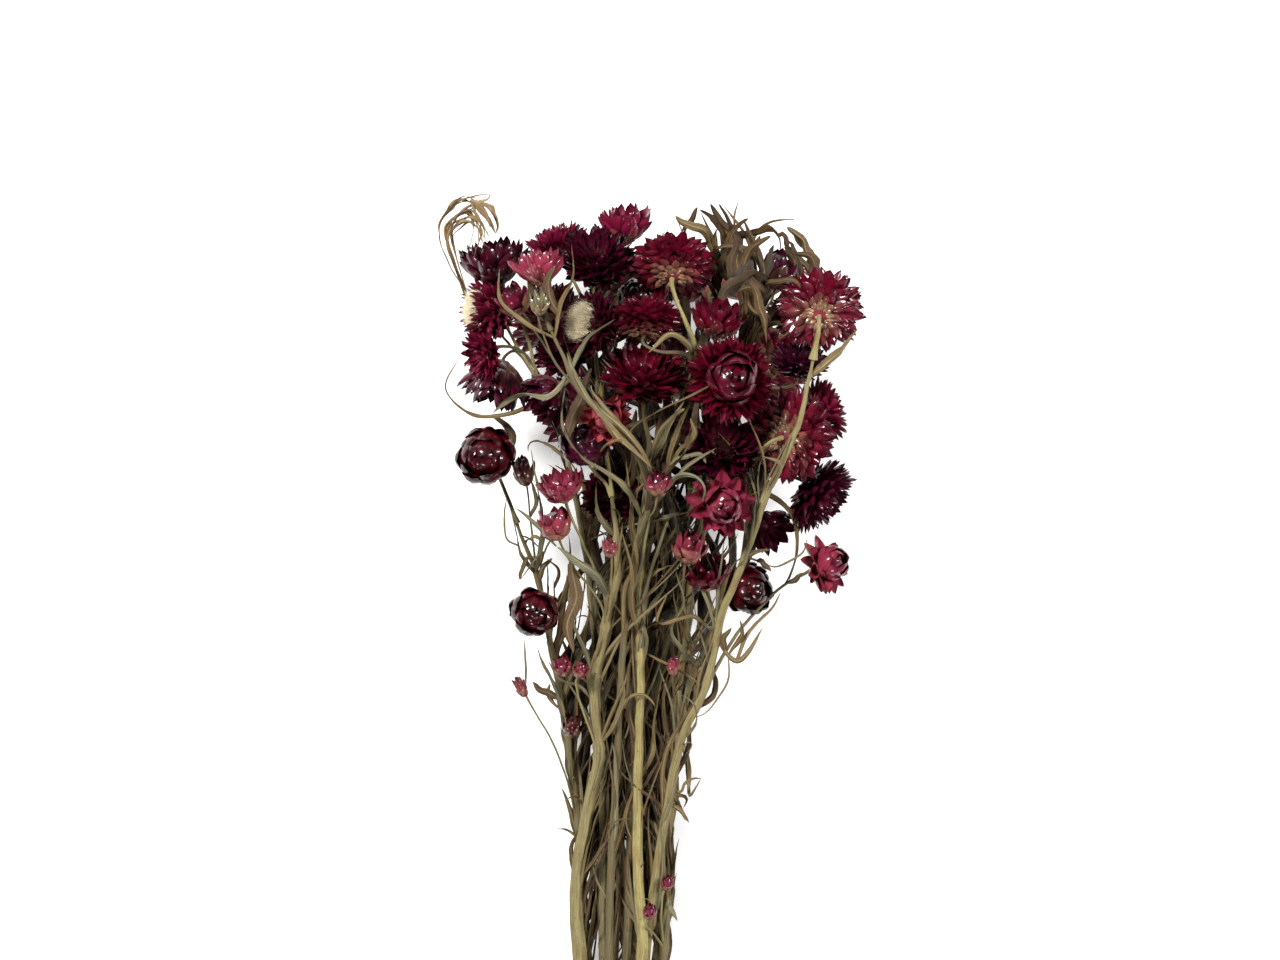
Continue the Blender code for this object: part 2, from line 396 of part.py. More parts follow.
def stem_route(name):
    """A stem's points from its cut end, straight through its place in the tie, to its top."""
    reach, degrees, low, high, above = STEMS[name]
    angle = math.radians(degrees)
    across = np.array([reach * math.cos(angle), 0, reach * math.sin(angle)])
    middle = np.array([BUNDLE_X, 0, BUNDLE_Z])
    cut = CUT_END_Y + CUT_RAGGEDNESS * math.sin(2.1 * degrees)
    tied = [middle + CUT_END_SPREAD * across + (0, cut, CUT_END_RISE),
            middle + across + (0, TIE_Y - TIE_STRETCH, 0),
            middle + across + (0, TIE_Y + TIE_STRETCH, 0)]
    free = smooth_route([tied[2]] + settled_down(above), STEM_STEP)
    return np.vstack([tied[:2], free])


def stem_radii(name, route):
    """A stem's radius at each point: squeezed at the tie, then from low to high."""
    reach, degrees, low, high, above = STEMS[name]
    rise = np.clip(route[:, 1] / above[-1][1], 0, 1)
    radii = low + (high - low) * rise
    return np.where(is_tied(route[:, 1]), TIED_STEM_RADIUS, radii)


def is_tied(y):
    """Whether a point of a stem lies in or below the tie, where it can't move."""
    return y < TIE_Y + TIE_STRETCH + 2


def settled_down(points):
    """Table points with their heights lowered as the head flattens."""
    return [(x, y, z * HEAD_FLATTENING) for x, y, z in points]


class Chains:
    """All routes of the bunch as one list of points, with what each of them belongs to."""

    def __init__(self):
        self.points, self.radii, self.node, self.free = [], [], [], []
        self.links, self.follows, self.routes = [], [], {}
        self.balls = {}

    def add_route(self, key, node, route, radii, follows=None, owner=None):
        """Add a route. Its first point may follow an earlier point; the last links may belong to
        the bloom named owner, whose balls they don't push."""
        first = len(self.points)
        for k, (point, radius) in enumerate(zip(route, radii)):
            self.points.append(point)
            self.radii.append(radius)
            self.node.append(node)
            self.free.append(0.0 if follows is None and is_tied(point[1]) else 1.0)
            if k:
                held = owner if owner and k == len(route) - 1 else None
                self.links.append((first + k - 1, first + k, held))
        self.routes[key] = (first, first + len(route))
        if follows is not None:
            self.follows.append((first, *follows))
        return first

    def add_balls(self, key, node, centre, kind, radius, facing):
        """Add the balls of a bloom."""
        frame = bloom_frame(facing)
        first = len(self.points)
        for reach, height, ball, count in BALLS[kind]:
            for k in range(count):
                angle = 2 * math.pi * k / count
                local = np.array([reach * math.cos(angle), reach * math.sin(angle), height])
                self.points.append(centre + frame @ local * radius)
                self.radii.append(ball * radius)
                self.node.append(node)
                self.free.append(0.5)
                self.links.append((len(self.points) - 1, len(self.points) - 1, key))
        self.balls[key] = (first, len(self.points))

    def route(self, key, points):
        """The points of one route out of all."""
        first, last = self.routes[key]
        return points[first:last]


def nearest_between(a, b, c, d):
    """Where the lines a-b and c-d come nearest, as parts of each, for arrays of lines."""
    one, two, gap = b - a, d - c, a - c
    aa = np.einsum("ij,ij->i", one, one) + 1e-9
    ee = np.einsum("ij,ij->i", two, two) + 1e-9
    ff = np.einsum("ij,ij->i", two, gap)
    cc = np.einsum("ij,ij->i", one, gap)
    bb = np.einsum("ij,ij->i", one, two)
    s = np.clip((bb * ff - cc * ee) / (aa * ee - bb * bb + 1e-9), 0, 1)
    t = np.clip((bb * s + ff) / ee, 0, 1)
    s = np.clip((bb * t - cc) / aa, 0, 1)
    return s, t


def near_pairs(points, first, second, reach, number, owner):
    """Pairs of links that are close, of different nodes, and not a stalk with its own bloom."""
    margin = 2.5
    middle = (points[first] + points[second]) / 2
    size = np.linalg.norm(points[first] - points[second], axis=1) / 2 + reach + margin
    apart = np.linalg.norm(middle[:, None] - middle[None], axis=2)
    close = apart < size[:, None] + size[None]
    close &= number[:, None] != number[None]
    close &= ~((owner[:, None] == owner[None]) & (owner[:, None] >= 0))
    return np.nonzero(np.triu(close))


def settle(chains):
    """Move the routes and blooms apart until none is nearer to another than CLEARANCE.

    In each round every pair that is too near is pushed apart by half its overlap. The moves are
    then spread along each route by averaging with its neighbours, less and less as rounds go by,
    balls of one bloom move as one, and nothing sinks below the surface.
    """
    start = np.array(chains.points)
    points = start.copy()
    radii, free = np.array(chains.radii), np.array(chains.free)
    keys = sorted(set(chains.node))
    node = np.array([keys.index(name) for name in chains.node])
    first = np.array([link[0] for link in chains.links])
    second = np.array([link[1] for link in chains.links])
    blooms = sorted(chains.balls)
    owner = np.array([blooms.index(link[2]) if link[2] in blooms else -1 for link in chains.links])
    reach = np.maximum(radii[first], radii[second])
    number = node[first]
    inner = np.zeros(len(points), bool)
    for low, high in chains.routes.values():
        inner[low + 1:high - 1] = True
    inner = np.nonzero(inner)[0]
    grounded = [name for name, row in BLOOMS.items() if row[1][2] is None]
    for turn in range(SETTLE_ROUNDS):
        if turn % ROUNDS_PER_SEARCH == 0:
            one, two = near_pairs(points, first, second, reach, number, owner)
        s, t = nearest_between(points[first[one]], points[second[one]],
                               points[first[two]], points[second[two]])
        at_one = points[first[one]] * (1 - s)[:, None] + points[second[one]] * s[:, None]
        at_two = points[first[two]] * (1 - t)[:, None] + points[second[two]] * t[:, None]
        apart = at_one - at_two
        distance = np.linalg.norm(apart, axis=1)
        overlap = reach[one] + reach[two] + CLEARANCE - distance
        hit = overlap > 0
        way = apart[hit] / (distance[hit, None] + 1e-6)
        push = 0.5 * overlap[hit, None] * way
        move = np.zeros_like(points)
        count = np.full(len(points), 1e-6)
        for ends, part, sign in ((first[one][hit], 1 - s[hit], 1), (second[one][hit], s[hit], 1),
                                 (first[two][hit], 1 - t[hit], -1), (second[two][hit], t[hit], -1)):
            np.add.at(move, ends, sign * push * part[:, None])
            np.add.at(count, ends, part)
        points += free[:, None] * move / np.maximum(count, 1)[:, None] * PUSH_STRENGTH
        shift = points - start
        smoothing = SMOOTHING * max(0.0, 1 - turn / (SMOOTHED_ROUNDS * SETTLE_ROUNDS))
        share = smoothing * free[inner, None]
        shift[inner] = ((1 - share) * shift[inner]
                        + share * (shift[inner - 1] + shift[inner + 1]) / 2)
        for name in blooms:
            low, high = chains.balls[name]
            whole = move[low:high]
            touched = np.linalg.norm(whole, axis=1) > 1e-9
            shift[low:high] = bloom_shift(shift[low:high], whole, touched, name in grounded)
            if name in chains.routes:
                end = chains.routes[name][1]
                shift[end - 2:end] = shift[low]
        for follower, leader, part in chains.follows:
            shift[follower] = shift[leader] * (1 - part) + shift[leader + 1 * (part > 0)] * part
        points = start + shift
        sunk = inner[points[inner, 2] < radii[inner] + SURFACE_GAP]
        points[sunk, 2] = radii[sunk] + SURFACE_GAP
    return points


def bloom_shift(shifts, moves, touched, grounded):
    """One shift for all balls of a bloom: the mean of the shifts, led by those that were pushed."""
    base = np.median(shifts[~touched], axis=0) if (~touched).any() else shifts.mean(axis=0)
    if touched.any():
        base = base + BLOOM_PUSH_STRENGTH * moves[touched].sum(axis=0) / max(2, touched.sum())
    if grounded:
        base[2] = 0
    return np.repeat(base[None], len(shifts), axis=0)


def place_blooms():
    """Middle of every bloom. One with no height of its own lies with its lowest point on z = 0."""
    places = {}
    for number, (name, row) in enumerate(BLOOMS.items()):
        kind, place, radius, facing = row[:4]
        if place[2] is None:
            height = -bloom_points(kind, radius, facing, number)[0][:, 2].min()
        else:
            height = place[2] * HEAD_FLATTENING
        places[name] = np.array([place[0], place[1], height], float)
    return places


def stalk_base(kind, middle, radius, facing):
    """Point where a stalk ends under a bloom."""
    return middle + unit(facing) * (RINGS[kind][0][2] * radius - SEAT_GAP)


def stalk_radius(radius):
    """A bigger bloom has a thicker stalk."""
    return STALK_RADIUS_LEAST + STALK_GROWTH * radius


def join_index(chains, stem, y):
    """Number of the stem's point nearest to y, or of its last point, and the way it runs."""
    first, last = chains.routes[stem]
    route = np.array(chains.points[first:last])
    k = len(route) - 1 if y is None else int(np.argmin(abs(route[:, 1] - y)))
    return first + k, unit(route[k] - route[k - 1])


def lay_out():
    """All routes and balls of the bunch before it settles."""
    chains = Chains()
    for name in STEMS:
        route = stem_route(name)
        chains.add_route(name, name, route, stem_radii(name, route))
    places = place_blooms()
    for name, (kind, place, radius, facing, stem, y, colour) in BLOOMS.items():
        index, way = join_index(chains, stem, y)
        end = stalk_base(kind, places[name], radius, facing)
        parts = 4 + int(np.linalg.norm(end - chains.points[index]) > LONG_STALK)
        route = stalk_route(chains.points[index], way, end, unit(facing), parts)
        radii = [stalk_radius(radius)] * len(route)
        chains.add_route(name, stem, route, radii, (index, 0.0), name)
        chains.add_balls(name, name, places[name], kind, radius, facing)
    for name, (place, radius, facing, stem, y) in STALK_BUDS.items():
        index, way = join_index(chains, stem, y)
        middle = np.array(settled_down([place])[0])
        end = middle - unit(facing) * BUD_SINK * radius
        route = stalk_route(chains.points[index], way, end, unit(facing), 3)
        chains.add_route(name, stem, route, [BUD_STALK_RADIUS] * len(route), (index, 0.0), name)
        chains.add_balls(name, stem, middle, "tiny", radius, facing)
    for number, (stem, half_width, twist, route) in enumerate(LEAVES):
        add_blade(chains, f"leaf_{number:02d}", stem, route, half_width)
    add_blade(chains, "tuft_stalk", "stem_07", TUFT_STALK, TUFT_STALK_RADIUS)
    for number, route in enumerate(TUFT_STRANDS):
        add_blade(chains, f"strand_{number}", "stem_07", route, TUFT_STRAND_HALF_WIDTH,
                  "tuft_stalk")
    return chains, places


def add_blade(chains, key, stem, route, half_width, host=None):
    """Add a leaf whose root is the point of its host nearest to where its route begins."""
    route = settled_down(route)
    first, last = chains.routes[host or stem]
    index, part = nearest_on(np.array(chains.points[first:last]), np.array(route[0], float))
    leader = first + index
    root = chains.points[leader] * (1 - part) + chains.points[leader + 1] * part
    route = smooth_route([root] + list(route[1:]), LEAF_STEP)
    chains.add_route(key, stem, route, blade_widths(route, half_width), (leader, part))


def nearest_on(route, place):
    """Where a route comes nearest to a place: the number of a point and the part of the way from
    it to the next, short of either by a little, so that a root never lies in a bend."""
    way = np.diff(route, axis=0)
    part = np.einsum("ij,ij->i", place - route[:-1], way) / np.einsum("ij,ij->i", way, way)
    part = np.clip(part, 0.12, 0.88)
    near = route[:-1] + way * part[:, None]
    index = int(np.argmin(np.linalg.norm(near - place, axis=1)))
    return index, part[index]


def blade_widths(route, half_width):
    """Half widths of a leaf: narrow at its foot, full in the middle and a point at its tip."""
    t = np.linspace(0, 1, len(route))
    return half_width * np.maximum(LEAF_FOOT_WIDTH, np.sin(math.pi * (0.18 + 0.80 * t)) ** 0.7)


def route_frames(route, twist_degrees):
    """Two directions across the route at each point, turned evenly by the twist."""
    ways = np.gradient(route, axis=0)
    ways /= np.linalg.norm(ways, axis=1)[:, None]
    side = unit(np.cross(ways[0], (0.2, 0.1, 1.0)))
    sides = []
    for way in ways:
        side = unit(side - way * side.dot(way))
        sides.append(side)
    sides = np.array(sides)
    ups = np.cross(ways, sides)
    turn = np.radians(twist_degrees) * np.linspace(0, 1, len(route))[:, None]
    return sides * np.cos(turn) + ups * np.sin(turn), ups * np.cos(turn) - sides * np.sin(turn)


def tube(route, across, thick, sides, twist_degrees=0.0):
    """Closed tube along a route. Corner k of a ring is cos(2 pi k / n) of the half width across
    along one side and sin(2 pi k / n) of the half thickness thick along the other."""
    side, up = route_frames(route, twist_degrees)
    angle = 2 * math.pi * np.arange(sides) / sides
    rings = (route[:, None] + side[:, None] * (np.cos(angle) * across[:, None])[:, :, None]
             + up[:, None] * (np.sin(angle) * thick[:, None])[:, :, None])
    faces = [tuple(range(sides))[::-1]]
    for ring in range(len(route) - 1):
        for k in range(sides):
            after = (k + 1) % sides
            low, high = ring * sides, (ring + 1) * sides
            faces.append((low + k, low + after, high + after))
            faces.append((low + k, high + after, high + k))
    faces.append(tuple(range((len(route) - 1) * sides, len(route) * sides)))
    return rings.reshape(-1, 3), faces


def to_frame(points):
    """Table millimetres as metres about the middle of the bunch."""
    return (np.asarray(points) - (TABLE_ZERO_X, TABLE_ZERO_Y, 0)) * MM


def new_object(name, points, faces, finish_name, collection=None):
    """An object from points in table millimetres."""
    mesh = bpy.data.meshes.new(name)
    mesh.from_pydata(to_frame(points).tolist(), [], faces)
    mesh.materials.append(finish(finish_name))
    piece = bpy.data.objects.new(name, mesh)
    (collection or bpy.context.scene.collection).objects.link(piece)
    return piece


def make_blooms(chains, points, places):
    """Every open flower, ball and bud that is a piece of its own."""
    for number, (name, row) in enumerate(BLOOMS.items()):
        kind, place, radius, facing, stem, y, colour = row
        first = chains.balls[name][0]
        middle = places[name] + points[first] - chains.points[first]
        solid, faces = bloom_points(kind, radius, facing, number)
        new_object(name, solid + middle, faces, colour)


def make_stem(name, chains, points):
    """One leafy stem: its tube, with stalks, leaves and small buds joined to it."""
    route = chains.route(name, points)
    radii = stem_radii(name, route)
    host = new_object(name, *tube(route, radii, radii, STEM_SIDES), "stem")
    parts = bpy.data.collections.new(name + "_parts")
    bpy.context.scene.collection.children.link(parts)
    for bloom, row in BLOOMS.items():
        if row[4] == name:
            stalk = chains.route(bloom, points)
            radii = np.full(len(stalk), stalk_radius(row[2]))
            new_object("stalk", *tube(stalk, radii, radii, STALK_SIDES), "stem", parts)
    for bud, (place, radius, facing, stem, y) in STALK_BUDS.items():
        if stem == name:
            stalk = chains.route(bud, points)
            radii = np.full(len(stalk), BUD_STALK_RADIUS)
            new_object("stalk", *tube(stalk, radii, radii, LEAF_SIDES), "stem", parts)
            first = chains.balls[bud][0]
            middle = np.array(settled_down([place])[0]) + points[first] - chains.points[first]
            solid, faces = bloom_points("tiny", radius, facing, radius)
            new_object("bud", solid + middle, faces, "stem", parts)
    for number, (stem, half_width, twist, given) in enumerate(LEAVES):
        if stem == name:
            leaf = chains.route(f"leaf_{number:02d}", points)
            widths = blade_widths(leaf, half_width)
            thick = np.maximum(LEAF_LEAST_THICKNESS, LEAF_THICKNESS * widths)
            twist = min(twist, LEAF_TWIST_STEP * (len(leaf) - 1))
            new_object("leaf", *tube(leaf, widths, thick, LEAF_SIDES, twist), "stem", parts)
    if name == "stem_07":
        stalk = chains.route("tuft_stalk", points)
        radii = np.full(len(stalk), TUFT_STALK_RADIUS)
        new_object("stalk", *tube(stalk, radii, radii, STALK_SIDES), "stem", parts)
        for number in range(len(TUFT_STRANDS)):
            strand = chains.route(f"strand_{number}", points)
            widths = blade_widths(strand, TUFT_STRAND_HALF_WIDTH)
            new_object("strand", *tube(strand, widths, 0.6 * widths, LEAF_SIDES, 90), "stem", parts)
    join(host, parts)


def join(host, parts):
    """Unite the host with every object of a collection, apply it, and remove those objects."""
    union = host.modifiers.new("union", "BOOLEAN")
    union.operation = "UNION"
    union.operand_type = "COLLECTION"
    union.collection = parts
    union.solver = "MANIFOLD"
    graph = bpy.context.evaluated_depsgraph_get()
    joined = bpy.data.meshes.new_from_object(host.evaluated_get(graph))
    host.modifiers.clear()
    host.data = joined
    keep_largest(joined)
    for piece in list(parts.objects):
        bpy.data.objects.remove(piece)
    bpy.data.collections.remove(parts)


def keep_largest(mesh):
    """Drop loose scraps and the walls of sealed hollows, so that one body is left, with its
    largest faces first."""
    solid = bmesh.new()
    solid.from_mesh(mesh)
    bmesh.ops.triangulate(solid, faces=solid.faces, quad_method="BEAUTY", ngon_method="BEAUTY")
    if any(len(edge.link_faces) != 2 for edge in solid.edges):
        solid.clear()
        solid.from_mesh(mesh)
        bmesh.ops.triangulate(solid, faces=solid.faces, ngon_method="EAR_CLIP")
    waiting, bodies = set(solid.faces), []
    while waiting:
        face = waiting.pop()
        body, edge_of_body = [face], [face]
        while edge_of_body:
            for edge in edge_of_body.pop().edges:
                for beside in edge.link_faces:
                    if beside in waiting:
                        waiting.remove(beside)
                        body.append(beside)
                        edge_of_body.append(beside)
        bodies.append(body)
    bodies.sort(key=len)
    for body in bodies[:-1]:
        bmesh.ops.delete(solid, geom=body, context="FACES")
    solid.faces.sort(key=lambda face: face.calc_area(), reverse=True)
    solid.to_mesh(mesh)
    solid.free()


def make_tie():
    """Turns of twine round the stems, as one ring whose outside waves over the turns.

    Each turn has three points: its crest, and one on each side of it near the next turn. The
    crests lie on the surface at the ring's lowest side.
    """
    inner = (EDGE_SLOT_REACH + TIED_STEM_RADIUS + SEAT_GAP) / math.cos(math.pi / TIE_SIDES)
    profile = []
    for turn in range(TIE_TURNS):
        middle = (turn - (TIE_TURNS - 1) / 2) * 2 * TWINE_RADIUS
        for side, rise in ((-0.8, 1.2), (0.0, 2.0), (0.8, 1.2)):
            profile.append((middle + side * TWINE_RADIUS, inner + rise * TWINE_RADIUS))
    half = TIE_TURNS * TWINE_RADIUS
    profile = [(-half, inner)] + profile + [(half, inner)]
    points, faces = [], []
    for k in range(TIE_SIDES):
        angle = 2 * math.pi * (k + 0.5) / TIE_SIDES
        for along, reach in profile:
            points.append((BUNDLE_X + reach * math.cos(angle), TIE_Y + along,
                           max(0.0, BUNDLE_Z + reach * math.sin(angle))))
    rows = len(profile)
    for k in range(TIE_SIDES):
        after = (k + 1) % TIE_SIDES
        for row in range(rows):
            beside = (row + 1) % rows
            faces.append((k * rows + row, k * rows + beside,
                          after * rows + beside, after * rows + row))
    new_object("tie", points, faces, "twine")


def main():
    """Clear the scene and build the bunch."""
    for piece in list(bpy.data.objects):
        bpy.data.objects.remove(piece)
    chains, places = lay_out()
    points = settle(chains)
    make_blooms(chains, points, places)
    for name in STEMS:
        make_stem(name, chains, points)
    make_tie()


main()
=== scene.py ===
"""Dried strawflower bunch, dressed for a studio picture.

Every flower head, stem and the twine tie is built again in fine detail in the place that the
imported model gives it. The layout tables are those of the model, in millimetres on its table, and
settle() moves stems, leaves and blooms apart in the same way, so both give the same places.
"""

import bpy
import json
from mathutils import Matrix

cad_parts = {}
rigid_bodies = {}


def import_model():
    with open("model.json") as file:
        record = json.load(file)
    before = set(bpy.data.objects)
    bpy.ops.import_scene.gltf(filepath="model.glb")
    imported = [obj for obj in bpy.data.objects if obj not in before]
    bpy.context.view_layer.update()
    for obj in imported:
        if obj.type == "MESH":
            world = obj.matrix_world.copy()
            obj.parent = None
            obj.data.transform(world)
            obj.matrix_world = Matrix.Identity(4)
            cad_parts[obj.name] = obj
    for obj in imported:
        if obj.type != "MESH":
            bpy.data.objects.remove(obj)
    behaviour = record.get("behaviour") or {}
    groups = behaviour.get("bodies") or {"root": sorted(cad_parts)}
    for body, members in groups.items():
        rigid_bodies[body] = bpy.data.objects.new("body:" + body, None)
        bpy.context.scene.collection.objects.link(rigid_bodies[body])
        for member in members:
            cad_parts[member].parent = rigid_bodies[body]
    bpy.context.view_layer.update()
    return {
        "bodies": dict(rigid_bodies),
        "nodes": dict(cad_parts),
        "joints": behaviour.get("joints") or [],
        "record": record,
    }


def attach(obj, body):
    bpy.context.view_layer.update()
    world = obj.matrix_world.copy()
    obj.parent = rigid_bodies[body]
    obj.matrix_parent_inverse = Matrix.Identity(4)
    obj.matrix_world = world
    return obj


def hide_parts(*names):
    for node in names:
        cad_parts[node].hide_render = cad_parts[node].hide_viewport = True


bl_info = {
    "name": "Dried strawflower bunch",
    "version": (1, 0, 0),
    "blender": (4, 5, 0),
    "location": "View3D > Sidebar > Strawflower",
    "description": "Builds a tied bunch of dried strawflowers and its studio",
    "category": "Add Mesh",
}

import functools
import json
import math

import bpy
import mathutils
import numpy as np

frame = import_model()

MM = 0.001

# Driving dimensions
CUT_END_Y = -128.0          # mean place of the cut stem ends
CUT_RAGGEDNESS = 5.0        # how far a cut end lies from that place at most
TIE_Y = -78.0               # middle of the tie
TIE_STRETCH = 12.0          # straight stretch of a stem on each side of it
TABLE_ZERO_X = 4.2          # middle of the bunch's width, seen from the tables' zero
TABLE_ZERO_Y = 125.4        # and of its length
HEAD_FLATTENING = 0.92      # the lying head sinks: heights above the surface times this
BUNDLE_X = -11.0            # middle of the stem bundle at the tie
BUNDLE_Z = 17.4             # its height there
CUT_END_SPREAD = 1.12       # the cut ends stand this much wider than the tied stems
CUT_END_RISE = 1.2          # and this much higher
TIED_STEM_RADIUS = 3.3      # a stem where the tie squeezes it
SLOT_GAP = 0.22             # half the room between two tied stems
STEM_STEP = 34.0            # distance between the rings of a stem
LEAF_STEP = 18.0            # and of a leaf
STALK_NECK = 6.0            # straight end of a stalk under its bloom
LONG_STALK = 40.0           # a stalk longer than this gets one more ring
STALK_RADIUS_LEAST = 0.45   # a stalk's radius is this plus STALK_GROWTH times its bloom's
STALK_GROWTH = 0.07
SEAT_GAP = 0.3              # between a bloom and its stalk, and round the tied stems
BUD_SINK = 0.8              # a fused bud sits this part of its radius down on its stalk
BUD_STALK_RADIUS = 0.9
LEAF_FOOT_WIDTH = 0.28      # narrowest part of a leaf, as part of its full width
TIE_TURNS = 4
TWINE_RADIUS = 1.7

# How the bunch settles
CLEARANCE = 0.45            # between any two pieces
SURFACE_GAP = 0.3           # between the surface and a route
SETTLE_ROUNDS = 480
ROUNDS_PER_SEARCH = 8       # pairs that are near are looked up once in so many rounds
SEARCH_MARGIN = 2.5         # and counted as near within this
PUSH_STRENGTH = 1.3         # of a route, as part of what would just clear an overlap
BLOOM_PUSH_STRENGTH = 1.1
SMOOTHING = 0.6             # share of the neighbours' shift in a point's own, at the start
SMOOTHED_ROUNDS = 0.7       # it falls to nothing over this part of the rounds

# The twelve places of the stems in the tie: nine round the edge and three inside.
EDGE_SLOT_REACH = 3.08 * (TIED_STEM_RADIUS + SLOT_GAP)
CORE_SLOT_REACH = 1.18 * (TIED_STEM_RADIUS + SLOT_GAP)

# Stem: slot reach, slot angle in degrees, radius low, radius high, then its route above the tie.
STEMS = {
    "stem_01": (EDGE_SLOT_REACH, 150, 4.2, 2.4, [
        (-31, 0, 32), (-31.5, 51, 35), (-22.5, 82, 40), (-21, 105, 43), (-23.5, 128, 46),
        (-21, 155, 50), (-13, 180, 57), (-11, 212, 62), (-14, 232, 66)]),
    "stem_02": (EDGE_SLOT_REACH, 70, 3.4, 2.0, [
        (4, 0, 40), (1.5, 50, 42), (1.5, 110, 46), (1.5, 160, 52), (1, 200, 58), (3, 232, 64),
        (5, 252, 66)]),
    "stem_03": (EDGE_SLOT_REACH, 30, 3.0, 2.0, [
        (3, 0, 30), (12.5, 65, 43), (21, 110, 52), (33, 134, 58), (40.5, 171, 66),
        (52.5, 200, 76), (66, 241, 90), (78, 264, 96), (80, 284, 98), (86, 300, 98)]),
    "stem_04": (EDGE_SLOT_REACH, 310, 2.6, 1.8, [
        (9, 0, 18), (12, 60, 22), (17, 110, 28), (22, 150, 36), (27, 190, 46), (34, 230, 54),
        (42, 262, 62)]),
    "stem_05": (EDGE_SLOT_REACH, 110, 2.4, 2.0, [
        (-15, 0, 39), (-12, 60, 43), (-8, 120, 50), (-3, 180, 64), (4, 220, 78), (6, 240, 86),
        (-3, 258, 98), (-21, 275, 103), (-35, 292, 103), (-44, 314, 99)]),
    "stem_06": (EDGE_SLOT_REACH, 190, 2.6, 1.8, [
        (-27, 0, 17), (-31, 60, 22), (-37, 110, 28), (-45, 155, 38), (-52, 190, 48),
        (-62, 218, 58)]),
    "stem_07": (CORE_SLOT_REACH, 210, 2.6, 1.8, [
        (-19, 0, 22), (-19, 80, 27), (-22, 150, 34), (-29, 210, 44), (-38, 255, 54),
        (-50, 285, 60)]),
    "stem_08": (EDGE_SLOT_REACH, 230, 2.8, 1.8, [
        (-13, 0, 8.5), (-11, 80, 15), (-11, 160, 26), (-14, 230, 40), (-22, 285, 54),
        (-26, 315, 60)]),
    "stem_09": (CORE_SLOT_REACH, 90, 2.6, 1.6, [
        (-7, 0, 29), (-4, 80, 33), (0, 150, 42), (6, 220, 56), (16, 265, 70), (27, 300, 82)]),
    "stem_10": (EDGE_SLOT_REACH, 270, 2.8, 1.8, [
        (0, 0, 8.5), (4, 80, 14), (11, 160, 24), (26, 230, 38), (44, 285, 50), (56, 318, 56)]),
    "stem_11": (CORE_SLOT_REACH, 330, 2.6, 1.8, [
        (-4, 0, 18.5), (2, 80, 22), (12, 150, 30), (28, 205, 42), (48, 238, 52)]),
    "stem_12": (EDGE_SLOT_REACH, 350, 2.4, 1.8, [
        (12, 0, 27), (15, 60, 30), (20, 110, 36), (28, 145, 44), (38, 168, 52)]),
}

